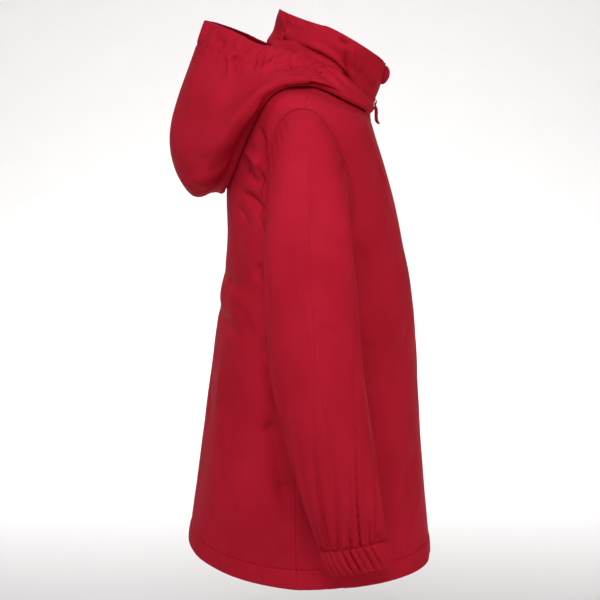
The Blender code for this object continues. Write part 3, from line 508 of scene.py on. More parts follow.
def loft(mesh: Mesh, rings: Sequence[Array], slot: int = 0) -> None:
    """Add a closed form skinned over rings of equal count, with a fan over each end."""
    rings = [np.asarray(ring, float) for ring in rings]
    count = len(rings[0])
    points = np.concatenate((*rings, rings[0].mean(axis=0)[None], rings[-1].mean(axis=0)[None]))
    body = quads(len(rings), count, True)
    here = np.arange(count)
    there = np.roll(here, -1)
    base = count * (len(rings) - 1)
    foot, head = count * len(rings), count * len(rings) + 1
    fans = [np.stack((there, here, np.full(count, foot), np.full(count, foot)), axis=-1),
            np.stack((here + base, there + base, np.full(count, head), np.full(count, head)), -1)]
    spread = np.concatenate((np.linalg.norm(np.diff(points, axis=0), axis=1).cumsum(), (0.0,)))
    cloth = np.stack((np.tile(np.arange(count), len(rings) + 1)[:len(points)],
                      spread[:len(points)] / MM), axis=-1)
    mesh.add(points, np.concatenate((body, *fans)), cloth, slot)


def tube(mesh: Mesh, line: Array, radii: tuple[float, float], across: Array,
         closed: bool = False, sides: int = 10) -> None:
    """Add a rounded bar along a line.

    Args:
        mesh: where it goes.
        line: points of its middle.
        radii: half its size in the direction across, and square to it.
        across: a direction square to the line.
        closed: whether its ends meet.
        sides: how many points each ring has.
    """
    if closed:
        run = np.roll(line, -1, axis=0) - np.roll(line, 1, axis=0)
    else:
        run = np.gradient(line, axis=0)
    second = unit(np.cross(unit(run), across))
    turn = full_turn(sides)
    rings = (line[:, None] + radii[0] * np.cos(turn)[None, :, None] * across
             + radii[1] * np.sin(turn)[None, :, None] * second[:, None])
    if closed:
        numbers = quads(len(line) + 1, sides, True) % (len(line) * sides)
        mesh.add(rings, numbers)
    else:
        loft(mesh, rings)


STITCH_SIDES = 6
# Share of a stitch's length, and size and height of the ring there in thread radii.
STITCH_RINGS = ((0.0, 0.3, -0.6), (0.14, 1.0, 1.0), (0.5, 1.15, 1.0), (0.86, 1.0, 1.0),
                (1.0, 0.3, -0.6))
STITCH_CAPS = ((0, 5, 4, 3), (0, 3, 2, 1), (24, 25, 26, 27), (24, 27, 28, 29))


def capsules(mesh: Mesh, starts: Array, ends: Array, out: Array, radius: float) -> None:
    """Add a small six-sided stitch from each start to each end, lying on the cloth.

    Args:
        mesh: where they go.
        starts: first ends of the stitches.
        ends: their other ends.
        out: the cloth's outward direction at each.
        radius: half a thread's thickness.
    """
    run = unit(ends - starts)
    aside = unit(np.cross(run, out))
    up = np.cross(aside, run)
    turn = full_turn(STITCH_SIDES)
    circle = (np.cos(turn)[None, :, None] * aside[:, None]
              + np.sin(turn)[None, :, None] * up[:, None])
    rings = []
    for share, size, height in STITCH_RINGS:
        middle = starts + (ends - starts) * share + out * radius * height
        rings.append(middle[:, None] + circle * radius * size)
    faces = np.concatenate((quads(len(rings), STITCH_SIDES, True), STITCH_CAPS))
    first = np.arange(len(starts)) * len(rings) * STITCH_SIDES
    mesh.add(np.stack(rings, axis=1), faces[None] + first[:, None, None])


# ---- Finishes --------------------------------------------------------------

def linear(code: str) -> tuple[float, float, float, float]:
    """An sRGB hex colour as linear red, green, blue and alpha."""
    values = [int(code[place:place + 2], 16) / 255.0 for place in (1, 3, 5)]
    return (*(value / 12.92 if value <= 0.04045 else ((value + 0.055) / 1.055)**2.4
              for value in values), 1.0)


def add_node(tree: Tree, kind: str, settings: dict | None = None,
             inputs: dict | None = None) -> bpy.types.Node:
    """Add a node to a material.

    Args:
        tree: the material's nodes.
        kind: Blender's name of the node's type.
        settings: its properties by name.
        inputs: its sockets by name or number, each a value or a socket to link from.

    Returns:
        The new node.
    """
    node = tree.nodes.new(kind)
    for name, value in (settings or {}).items():
        setattr(node, name, value)
    for name, value in (inputs or {}).items():
        if isinstance(value, Socket):
            tree.links.new(value, node.inputs[name])
        else:
            node.inputs[name].default_value = value
    return node


def new_material(name: str) -> tuple[Material, Tree]:
    """An empty node material and its nodes."""
    material = bpy.data.materials.new(name)
    material.use_nodes = True
    material.node_tree.nodes.clear()
    return material, material.node_tree


def noise(tree: Tree, place: Socket, size: float, dimensions: str = "3D",
          **inputs: float) -> Socket:
    """Noise with blotches of about the given size, in the units of the place."""
    return add_node(tree, "ShaderNodeTexNoise", {"noise_dimensions": dimensions},
                    {"Vector": place, "Scale": 1.0 / size, "Detail": 2.0, **inputs}).outputs[0]


BAND_PACE = FULL / 20.0     # a Wave Texture of scale 1 has this period


def crossed_bands(tree: Tree, place: Socket, axes: str, period: float, inputs: dict) -> Socket:
    """Bands along two axes multiplied into a weave or a knit with the given period."""
    bands = [add_node(tree, "ShaderNodeTexWave", {"wave_type": "BANDS", "bands_direction": axis},
                      {"Vector": place, "Scale": BAND_PACE / period, **inputs}).outputs[0]
             for axis in axes]
    return add_node(tree, "ShaderNodeMath", {"operation": "MULTIPLY"},
                    dict(enumerate(bands))).outputs[0]


def two_tone(tree: Tree, share: Socket, shade: str, colour: str) -> Socket:
    """A colour that goes from the shade, at a share of 0, to the colour, at 1."""
    return add_node(tree, "ShaderNodeMix", {"data_type": "RGBA"},
                    {0: share, 6: linear(shade), 7: linear(colour)}).outputs[2]


def raised(tree: Tree, height: Socket, depth: float, **inputs: Socket) -> Socket:
    """The normal of a surface on which a height is drawn to a depth in metres."""
    return add_node(tree, "ShaderNodeBump", inputs={
        "Strength": 1.0, "Distance": depth, "Height": height, **inputs}).outputs[0]


def ranged(tree: Tree, value: Socket, limits: dict[str, float]) -> Socket:
    """A value stretched from its usual limits, or given ones, to others."""
    return add_node(tree, "ShaderNodeMapRange", inputs={"Value": value, **limits}).outputs[0]


def finish_surface(tree: Tree, inputs: dict) -> None:
    """End a material with its shader and output."""
    shader = add_node(tree, "ShaderNodeBsdfPrincipled", inputs=inputs)
    add_node(tree, "ShaderNodeOutputMaterial", inputs={"Surface": shader.outputs[0]})


@dataclass(frozen=True)
class CoatedNylon:
    """Plain-woven nylon taffeta with a thin matt polyurethane coating, as used for rainwear.

    To the eye: an even deep red with almost no visible thread and next to no gloss, and a breath
    of pink where the cloth turns away.
    """

    name: str
    colour: str = "#C22236"
    shade: str = "#B91F31"
    roughness: float = 0.52
    ior: float = 1.5            # polyurethane
    specular: float = 0.004     # next to none, because the matting powder scatters its gloss
    sheen: float = 0.03
    sheen_tint: str = "#D82A58"
    # A 70 denier taffeta has a thread every 0.2 mm; drawn six times as coarse, so that it shows.
    thread_mm: float = 1.2
    weave_depth: float = 0.05 * MM
    grain_mm: float = 3.4       # the coating's fine unevenness
    grain_depth: float = 0.10 * MM
    cloud_mm: float = 70.0      # slow change of the dye's depth

    def material(self) -> Material:
        """Build the material; it reads the cloth coordinates of the pieces, in mm."""
        material, tree = new_material(self.name)
        cloth = add_node(tree, "ShaderNodeUVMap", {"uv_map": "UVMap"}).outputs["UV"]
        weave = crossed_bands(tree, cloth, "XY", self.thread_mm, {
            "Distortion": 0.6, "Detail": 1.0, "Detail Scale": 0.3})
        grain = noise(tree, cloth, self.grain_mm, "2D", Detail=3.0, Roughness=0.6)
        coarse = raised(tree, grain, self.grain_depth)
        cloud = ranged(tree, noise(tree, cloth, self.cloud_mm, "2D"),
                       {"From Min": 0.35, "From Max": 0.65})
        finish_surface(tree, {
            "Base Color": two_tone(tree, cloud, self.shade, self.colour),
            "Roughness": ranged(tree, grain, {"To Min": self.roughness - 0.05,
                                              "To Max": self.roughness + 0.07}),
            "IOR": self.ior, "Specular IOR Level": self.specular,
            "Normal": raised(tree, weave, self.weave_depth, Normal=coarse),
            "Sheen Weight": self.sheen, "Sheen Roughness": 0.45,
            "Sheen Tint": linear(self.sheen_tint)})
        return material


@dataclass(frozen=True)
class WovenTape:
    """Polyester zip tape, knitted with a rib every 0.8 mm: matt, and darker than the cloth."""

    name: str = "woven_polyester_tape"
    colour: str = "#8E0F22"
    shade: str = "#6F0A18"
    roughness: float = 0.82
    ior: float = 1.57           # polyester
    rib_mm: float = 0.8
    rib_depth: float = 0.12 * MM
    sheen: float = 0.3          # from the loose ends of its spun yarn
    sheen_tint: str = "#D86078"

    def material(self) -> Material:
        """Build the material on the object's own coordinates, because CAD nodes have no others."""
        material, tree = new_material(self.name)
        place = add_node(tree, "ShaderNodeTexCoord").outputs["Object"]
        knit = crossed_bands(tree, place, "XZ", self.rib_mm * MM, {"Distortion": 0.4})
        finish_surface(tree, {
            "Base Color": two_tone(tree, knit, self.shade, self.colour),
            "Roughness": self.roughness, "IOR": self.ior,
            "Normal": raised(tree, knit, self.rib_depth), "Sheen Weight": self.sheen,
            "Sheen Roughness": 0.6, "Sheen Tint": linear(self.sheen_tint)})
        return material


@dataclass(frozen=True)
class SmoothFinish:
    """A finish without a pattern: a colour that drifts, and a fine grain in its gloss."""

    name: str
    colour: str
    shade: str
    roughness: float
    ior: float = 1.5
    metallic: float = 0.0
    specular: float = 0.5
    sheen: float = 0.0
    grain_mm: float = 0.8
    grain_depth: float = 0.02 * MM

    def material(self) -> Material:
        """Build the material on the object's own coordinates."""
        material, tree = new_material(self.name)
        place = add_node(tree, "ShaderNodeTexCoord").outputs["Object"]
        grain = noise(tree, place, self.grain_mm * MM)
        finish_surface(tree, {
            "Base Color": two_tone(tree, grain, self.shade, self.colour),
            "Roughness": ranged(tree, grain, {"To Min": self.roughness - 0.06,
                                              "To Max": self.roughness + 0.06}),
            "IOR": self.ior, "Metallic": self.metallic, "Specular IOR Level": self.specular,
            "Sheen Weight": self.sheen, "Normal": raised(tree, grain, self.grain_depth)})
        return material


class Finishes:
    """Every finish of the jacket, each built once."""

    def __init__(self) -> None:
        """Build the materials."""
        # The outer cloth as cut for body, sleeves and hood.
        self.cloth = CoatedNylon("coated_nylon_taffeta").material()
        # The same cloth doubled in collar, cuffs and tab, coloured a shade deeper as painted shade
        # for the shadow in its gathers.
        self.trim = CoatedNylon("coated_nylon_taffeta_doubled", colour="#BE2134",
                                shade="#B41E2F").material()
        # Its inner face: the clear film over the dyed yarn is duller in gloss than the outer side;
        # its darker colour is painted shade for the shadowed insides.
        self.inside = CoatedNylon("nylon_taffeta_inner_face", colour="#9A1426", shade="#8A1020",
                                  roughness=0.62, sheen=0.1).material()
        self.tape = WovenTape().material()
        # Extruded nylon monofilament: a waxy, slightly clear plastic.
        self.coil = SmoothFinish("nylon_monofilament_coil", "#9A1024", "#7C0B1A", 0.42,
                                 ior=1.53).material()
        # Die-cast zinc under a baked lacquer: the metal is hidden, and the lacquer is satin.
        self.lacquer = SmoothFinish("lacquered_zinc_casting", "#A8162A", "#8E101E", 0.42,
                                    specular=0.12, grain_mm=2.0).material()
        # Injection-moulded thermoplastic rubber: even, and softer in its gloss than the lacquer.
        self.rubber = SmoothFinish("moulded_thermoplastic_rubber", "#B8162E", "#A21226", 0.46,
                                   specular=0.08, grain_mm=1.5).material()
        # Spun polyester sewing thread, 0.36 mm thick: hairy and a little darker than the cloth.
        self.thread = SmoothFinish("spun_polyester_thread", "#A8142C", "#8C0E20", 0.75,
                                   ior=1.57, specular=0.1, sheen=0.1, grain_mm=0.5).material()


# ---- The body's form -------------------------------------------------------

RING_COLUMNS = ("side_z", "front_z", "back_z", "half_width", "front_y", "back_y", "side_y")
HALF_WIDTH = RING_COLUMNS.index("half_width")
ARC_MM = 2.06               # length round the body for a degree of ring angle
ZIP_HALF_GAP = 0.0065       # from the centre plane to a front's edge


def ring_points(angle: Array, sizes: Array, power: float = 2.25, lift_power: float = 1.25) -> Array:
    """Points of an egg-shaped ring.

    Args:
        angle: 0 is the front, a quarter turn the wearer's right.
        sizes: the ring's RING_COLUMNS.
        power: squareness; 2 is an ellipse.
        lift_power: how early a ring's height leaves the side's on its way to front and back.

    Returns:
        The points.
    """
    side_z, front_z, back_z, half_width, front_y, back_y, side_y = np.moveaxis(sizes, -1, 0)
    across, along = np.sin(angle), np.cos(angle)
    reach = (np.abs(across)**power + np.abs(along)**power)**(-1.0 / power)
    depth = np.where(along > 0.0, side_y - front_y, back_y - side_y)
    lift = np.where(along > 0.0, front_z - side_z, back_z - side_z)
    return np.stack((-half_width * reach * across, side_y - depth * reach * along,
                     side_z + lift * np.abs(along)**lift_power), axis=-1)


def soft_folds(angle: Array, height: Array, folds: Sequence, radius: float) -> Array:
    """How far the form's large soft folds move the cloth out, alike on both sides.

    Args:
        angle: ring angles.
        height: heights, in metres.
        folds: angle, height, half_length, half_width, tilt and depth of each.
        radius: turns ring angle into length.

    Returns:
        The rise, in metres.
    """
    from_front = off_front(angle)
    rise = np.zeros(np.shape(from_front))
    for middle, middle_height, half_length, half_width, tilt, depth in folds:
        along = (from_front - math.radians(middle)) * radius
        above = height - middle_height
        turn = math.radians(tilt)
        lengthwise = along * math.cos(turn) + above * math.sin(turn)
        crosswise = above * math.cos(turn) - along * math.sin(turn)
        rise = rise + depth * np.exp(-(lengthwise / half_length)**2 - (crosswise / half_width)**2)
    return rise


# Folds that the solids leave out; each side of the jacket wears its own variant of them.
# (ring angle in degrees, height in mm) along each.
BODY_CREASES = creases(
    # Behind the armhole: the cloth sinks beside the seam, and three drag lines leave it.
    (((130, -50), (125, -64), (123, -80), (123, -98), (121, -116)), -10.5, 4.6, 0.8, 1.4, (0.3, 0.3)),
    (((140, -72), (128, -86), (119, -99)), 7.2, 3.0, 1.9, 1.2, (0.45, 0.15)),
    (((142, -92), (130, -103), (121, -113)), -4.4, 4.2, 1.2, 1.6, (0.5, 0.2)),
    (((143.5, -116), (129, -124), (118, -133)), -4.8, 3.2, 2.1, 1.3, (0.5, 0.1)),
    (((147, -131), (138, -142), (127, -156)), -3.4, 3.0, 2.1, 1.3, (0.4, 0.4)),
    (((140, -126), (131, -134), (122, -146)), 1.7, 5.0),
    # The two lines at the back of the waist, with the bulge between them.
    (((160, -214), (150, -207), (137, -203), (124, -200)), -0.8, 2.8, 2.4, 1.4),
    (((123, -186), (120.5, -198), (121, -207)), -3.8, 7.0, 1.0, 2.0),
    (((165, -233), (150, -233), (136, -234), (126, -238), (113, -239)), -1.5, 3.0, 2.6, 1.4,
     (0.25, 0.2)),
    (((152, -222), (138, -221), (124, -226)), 1.6, 8.0, 1.0, 2.0),
    (((130, -243), (124, -252), (118, -262)), -2.9, 6.5, 1.6, 1.8),
    (((113, -247), (112, -262), (114, -276)), 2.2, 4.0),
    # Under the sleeve: hollows where the skirt falls away from it.
    (((107, -325), (102, -370), (96, -420), (91, -470)), -6.0, 11.0, 1.0, 2.0, (0.3, 0.4)),
    (((112, -283), (107, -300), (102, -322), (98, -345)), -5.8, 7.0, 1.3, 1.8),
    (((112, -356), (104, -345), (97, -358)), -3.8, 5.0, 1.8, 1.5),
    (((106, -335), (101, -350), (95, -372)), 2.2, 4.5, 1.4, 1.4),
    (((102, -405), (96, -408), (90, -404)), -1.6, 5.0, 1.4, 1.7),
    (((124, -400), (121, -420), (119, -440)), 2.0, 9.0, 1.0, 2.0),
    (((136, -395), (132, -425), (134, -455)), -1.4, 9.0, 1.0, 2.0),
    (((150, -290), (146, -330), (140, -372)), 1.6, 11.0, 1.0, 2.0),
    (((170, -300), (163, -345), (158, -385)), -1.7, 10.0, 1.0, 2.0),
    (((155, -440), (137, -452), (124, -455)), -1.3, 6.0, 2.0),
    # Front of the waist and chest.
    (((60, -222), (45, -224), (30, -227), (15, -232)), -1.5, 2.4, 2.8, 1.3, (0.5, 0.2)),
    (((46, -228), (40, -236), (36, -246)), -2.2, 4.6, 1.4, 1.7),
    (((61, -160), (52.5, -190), (44.5, -214)), -2.5, 3.4, 2.4, 1.3),
    (((52, -158), (46, -182), (39, -208)), 1.7, 5.5),
    (((34, -142), (35, -160), (37, -180)), 1.2, 3.2, 1.4, 1.4),
    (((52, -46), (39, -72), (27, -106), (23, -146)), 2.2, 3.6, 2.0, 1.4, (0.1, 0.5)),
    (((46, -52), (32, -80), (20, -118), (16, -150)), -1.6, 3.6, 1.6, 1.5, (0.1, 0.5)),
    (((38, -50), (23, -91), (14, -134)), 1.6, 4.0, 1.5, 1.5, (0.1, 0.5)),
    (((17, -252), (31, -271), (39, -293), (42, -320)), -2.3, 5.0, 1.8, 1.5),
    (((24, -262), (38, -284), (47, -310)), 1.4, 6.0, 1.0, 1.8),
    (((60, -262), (57, -268), (53, -271)), -2.3, 4.0, 1.4),
    (((33, -306), (36, -318), (38, -330)), -1.4, 4.0),
    # Front of the skirt.
    (((14, -376), (32, -405), (46, -440)), -1.7, 7.0, 1.7, 1.7),
    (((12, -420), (28, -449), (41, -480)), 1.6, 5.0, 1.7, 1.4, (0.4, 0.1)),
    (((54, -435), (50, -438), (46, -434)), -2.6, 3.0, 1.5, 1.4),
    (((44, -395), (42, -430), (43, -468)), 1.4, 9.0, 1.0, 2.0),
    (((62, -380), (64, -420), (60, -470)), -2.6, 8.0, 1.0, 2.0),
    # Below the cuff the casing is drawn up in two small diagonal creases.
    (((82, -493), (77, -502), (72, -511)), -2.2, 2.2, 1.6, 1.3, (0.3, 0.0)),
    (((86, -492), (82, -501), (78, -511)), -1.6, 1.8, 1.6, 1.3, (0.3, 0.0)),
    (((78, -490), (71, -499), (66, -509)), 1.4, 2.4, 1.2, 1.4, (0.3, 0.0)),
)


@dataclass(frozen=True)
class BodyForm:
    """The body's outer face, and the folds that it wears."""

    # side_z, front_z, back_z, half_width, front_y, back_y, side_y, from the hem up to the neck.
    rings: tuple = (
        (-0.5130, -0.5120, -0.4945, 0.1440, -0.1312, 0.1250, 0.0100),
        (-0.4000, -0.4000, -0.4000, 0.1450, -0.1212, 0.1118, 0.0110),
        (-0.2500, -0.2500, -0.2500, 0.1430, -0.1105, 0.0915, 0.0100),
        (-0.1800, -0.1800, -0.1800, 0.1410, -0.0990, 0.0828, 0.0060),
        (-0.1200, -0.1250, -0.1100, 0.1400, -0.0872, 0.0815, 0.0040),
        (-0.0340, -0.0640, -0.0250, 0.1520, -0.0682, 0.0660, 0.0020),
        (-0.0160, -0.0530, -0.0040, 0.1050, -0.0655, 0.0450, -0.0040),
        (-0.0030, -0.0440, 0.0100, 0.0580, -0.0652, 0.0250, -0.0120),
    )
    underarm: float = 3.0
    shoulder: float = 5.0
    neck: float = 7.0
    armhole_half_angle: float = math.radians(31.0)
    # angle (degrees), height, half_length, half_width, tilt (degrees), depth
    folds: tuple = (
        (148.0, -0.232, 0.055, 0.0120, 4.0, 0.0030),
        (150.0, -0.213, 0.050, 0.0075, 3.0, -0.0030),
        (152.0, -0.254, 0.055, 0.0080, 8.0, -0.0035),
        (37.0, -0.240, 0.035, 0.0080, 0.0, -0.0024),
        (42.0, -0.262, 0.034, 0.0130, 6.0, 0.0016),
        (42.0, -0.050, 0.030, 0.0150, 0.0, 0.0019),
        (131.0, -0.088, 0.026, 0.0080, -38.0, -0.0030),
        (134.0, -0.131, 0.028, 0.0085, -28.0, -0.0035),
        (140.0, -0.158, 0.026, 0.0090, -40.0, -0.0025),
        (38.0, -0.400, 0.030, 0.0500, 0.0, 0.0020),
        (70.0, -0.440, 0.018, 0.0600, 0.0, -0.0030),
        (128.0, -0.430, 0.026, 0.0550, 0.0, 0.0025),
        (158.0, -0.420, 0.024, 0.0600, 0.0, -0.0022),
    )
    fold_radius: float = 0.118
    casing_mm: float = 21.0         # height of the hem casing
    casing_rise_mm: float = 0.8
    hem_span_mm: float = 113.0      # from the hem to the next ring
    relief: Relief = Relief(
        BODY_CREASES, (Drift(120.0, 0.55, 11, 1.5), Drift(46.0, 0.16, 12, 1.3),
                       Drift(85.0, 0.22, 13, 1.8, ridged=True)), scale=(ARC_MM, 1.0), seed=21)
    hem_gathers: Gathers = Gathers(150, 1.5, 6.0, 31, 0.4)
    hem_swags: Gathers = Gathers(46, 1.4, 10.0, 32, 0.5)

    def sizes(self, level: Array) -> Array:
        """The ring's sizes at levels from 0, the hem, to 7, the neck."""
        return smooth_table(self.rings, level)

    def plain(self, angle: Array, level: Array) -> Array:
        """Points of the form without any folds."""
        angle, level = arrays(angle, level)
        return ring_points(angle, self.sizes(level))

    def soft(self, angle: Array, level: Array) -> Array:
        """Points of the form with its large soft folds, as the CAD solids have them."""
        angle, level = arrays(angle, level)
        plain = self.plain(angle, level)
        rise = soft_folds(angle, plain[..., 2], self.folds, self.fold_radius)
        return plain + surface_normals(self.plain, angle, level) * rise[..., None]

    def rise_mm(self, angle: Array, level: Array, height: Array) -> Array:
        """How far the listed folds, seams and the hem casing move the cloth out, in mm."""
        from_front = np.degrees(off_front(angle))
        rise = self.relief.around(angle, from_front * ARC_MM, height / MM, 9.0)
        covered = smooth_step((level - 5.0) / 0.8)
        rise = rise * (1.0 - 0.85 * covered)
        seam = (from_front - 90.0) * ARC_MM
        rise = rise - 0.55 * bump(seam, 1.1) + 0.22 * bump(np.abs(seam) - 3.0, 1.6)
        above = level * self.hem_span_mm - self.casing_mm
        crowded = 0.35 + 0.65 * bump(from_front - 104.0, 30.0)
        puckers = (self.hem_gathers.at(angle, np.abs(above))
                   + self.hem_swags.at(angle, np.abs(above + 3.0)))
        rise = rise + crowded * puckers
        casing = smooth_step(-above / 1.6)
        puff = np.sqrt(np.clip(1.0 - (above / self.casing_mm + 0.5)**2 * 4.0, 0.0, 1.0))
        rise = rise + casing * (0.35 + (self.casing_rise_mm - 0.2) * puff)
        return rise - 0.6 * bump(above, 0.9)

    def dressed(self, angle: Array, level: Array) -> tuple[Array, Array]:
        """Points of the dressed cloth, and the outward directions it was moved along."""
        angle, level = arrays(angle, level)
        plain = self.plain(angle, level)
        normals = surface_normals(self.plain, angle, level)
        rise = (soft_folds(angle, plain[..., 2], self.folds, self.fold_radius)
                + self.rise_mm(angle, level, plain[..., 2]) * MM)
        return plain + normals * rise[..., None], normals


@dataclass(frozen=True)
class BodyGrid:
    """Rows and columns shared by the back and the fronts, so that their seams meet."""

    form: BodyForm
    hole_steps: int = 100
    hole_blend: float = 1.5
    skirt_steps: tuple[int, ...] = (76, 98, 47)     # rows between the rings below the underarm
    yoke_rows: int = 25
    # Rows beside the casing's stitches, in mm from them.
    stitch_rows_mm: tuple[float, ...] = (-2.0, -1.3, -0.65, 0.0, 0.65, 1.3, 2.0)

    def hole(self) -> tuple[Array, Array]:
        """Levels up the armhole, and the share of its full width that it is open at each."""
        turn = np.linspace(0.0, math.pi, self.hole_steps + 1)
        span = self.form.shoulder - self.form.underarm
        return self.form.underarm + span * 0.5 * (1.0 - np.cos(turn)), np.sin(turn)

    def rows(self) -> tuple[Array, Array]:
        """Levels of the rows from the hem up, and how far each opens the armhole."""
        form = self.form
        casing = form.casing_mm / form.hem_span_mm
        fine = casing + np.array(self.stitch_rows_mm) / form.hem_span_mm
        below = stepped(np.arange(form.underarm + 1.0), self.skirt_steps)
        below = below[np.abs(below - casing) > 3.0 / form.hem_span_mm]
        below = np.sort(np.concatenate((below, fine, np.array((0.6, 1.5)) / form.hem_span_mm)))
        levels, width = self.hole()
        above = np.linspace(form.shoulder, form.neck, self.yoke_rows)
        return (np.concatenate((below, levels[1:-1], above)),
                np.concatenate((np.zeros(len(below)), width[1:-1], np.zeros(len(above)))))

    def levels(self, levels: Array, opening: Array, edge_share: Array) -> Array:
        """Levels of a panel's grid: spaced for the armhole at its edge, evenly further in."""
        first = int(np.argmax(opening > 0.0)) - 1
        last = first + self.hole_steps
        even = levels.copy()
        even[first:last + 1] = np.linspace(levels[first], levels[last], self.hole_steps + 1)
        return even[:, None] + (levels - even)[:, None] * edge_share[None]**self.hole_blend

    def armhole(self, side: Side) -> tuple[Array, Array, Array, Array]:
        """The armhole's seam from the shoulder round the front to the underarm and back up.

        It gives points and outward directions as if on the wearer's right, and the ring angles
        and levels that they were read at.
        """
        hole, width = self.hole()
        half = self.form.armhole_half_angle * width
        angle = np.concatenate(((QUARTER - half)[::-1], (QUARTER + half)[1:-1])) * side.value
        level = np.concatenate((hole[::-1], hole[1:-1]))
        points, normals = self.form.dressed(angle, level)
        return mirrored(points, side), mirrored(normals, side), angle, level


# ---- Cloth pieces ----------------------------------------------------------

@dataclass(frozen=True)
class Cut:
    """The flat cloth of a piece: its width and length, its area and how it is held."""

    flat: tuple[float, float]
    area: float
    held: Held = Held.HUNG
    doubled: bool = False


@dataclass
class ClothPiece:
    """What every cut-and-sewn piece of the jacket has in common."""

    finishes: Finishes
    wall: float = 0.0006        # thickness of the cloth with its coating

    def pinch(self, outer: Array, normals: Array, thickness: Array, rows: Sequence[int]) -> None:
        """Thin the wall in the given end rows, so that an edge looks rolled."""
        for row in rows:
            outer[row] -= normals[row] * (0.28 * thickness[row])[:, None]
            thickness[row] *= 0.44

    def finished(self, mesh: Mesh, piece: str, cut: Cut, rests_on: Sequence[str],
                 side: Side | None = None) -> None:
        """Make the piece's object and say what it is.

        Args:
            mesh: its points and faces.
            piece: the word for it that starts its own name and its CAD node's.
            cut: the cloth that it was cut from.
            rests_on: the nodes that hold it; not used.
            side: the side that it belongs to, if it has a twin.
        """
        end = "" if side is None else f"_{side.word}"
        outside = self.finishes.trim if cut.doubled else self.finishes.cloth
        made = dress(mesh, f"{piece}_cloth{end}", (outside, self.finishes.inside),
                     f"{piece}{end}")


@dataclass
class BodyPanels(ClothPiece):
    """The back and the two fronts."""

    grid: BodyGrid = field(default_factory=lambda: BodyGrid(BodyForm()))
    front_columns: int = 126
    back_columns: int = 240
    front_mm: float = 205.0         # width of a front along its rows
    back_mm: float = 430.0
    casing_wall: float = 0.0013     # two more layers of cloth and their air
    back_cut: Cut = Cut((0.470, 0.560), 0.225)
    front_cut: Cut = Cut((0.240, 0.550), 0.112)

    def panel(self, angles: Array, levels: Array) -> tuple[Array, Array, Array]:
        """Outer points, directions and thickness of a panel; the casing is three layers thick."""
        form = self.grid.form
        outer, normals = form.dressed(angles, levels)
        above = levels * form.hem_span_mm - form.casing_mm
        return outer, normals, self.wall + self.casing_wall * smooth_step(-above / 1.6)

    def build(self) -> None:
        """Make the three panels."""
        levels, opening = self.grid.rows()
        away = self.grid.form.armhole_half_angle * opening
        share = dense_ends(self.back_columns, self.back_mm)
        edge = QUARTER + away
        angles = edge[:, None] * (1.0 - share) + (FULL - edge)[:, None] * share
        rows = self.grid.levels(levels, opening, np.abs(2.0 * share - 1.0))
        sheet = self.panel(angles, rows)
        self.pinch(*sheet, (0,))
        mesh = Mesh()
        wall(mesh, *sheet)
        self.finished(mesh, "back", self.back_cut, ("collar", "sleeve_right", "sleeve_left"))
        for side in Side:
            self.build_front(side, levels, opening, QUARTER - away)

    def build_front(self, side: Side, levels: Array, opening: Array, edge: Array) -> None:
        """Make one front, from the zip to the side seam, whose edge is given as ring angles."""
        share = dense_ends(self.front_columns, self.front_mm)
        half_width = self.grid.form.sizes(levels)[..., HALF_WIDTH]
        centre = np.arcsin(ZIP_HALF_GAP / half_width)
        angles = centre[:, None] * (1.0 - share) + edge[:, None] * share
        rows = self.grid.levels(levels, opening, share)
        outer, normals, thickness = self.panel(angles * side.value, rows)
        # The edge by the zip is turned in: two layers, and rolled.
        from_zip = share[None] * self.front_mm
        roll = 0.55 * MM * np.exp(-(from_zip / 6.0)**4) * smooth_step(from_zip / 1.2)
        outer += normals * roll[..., None]
        self.pinch(outer, normals, thickness, (0,))
        mesh = Mesh()
        wall(mesh, outer, normals, thickness)
        self.finished(mesh, "front", self.front_cut, ("collar", f"sleeve_{side.word}"), side)


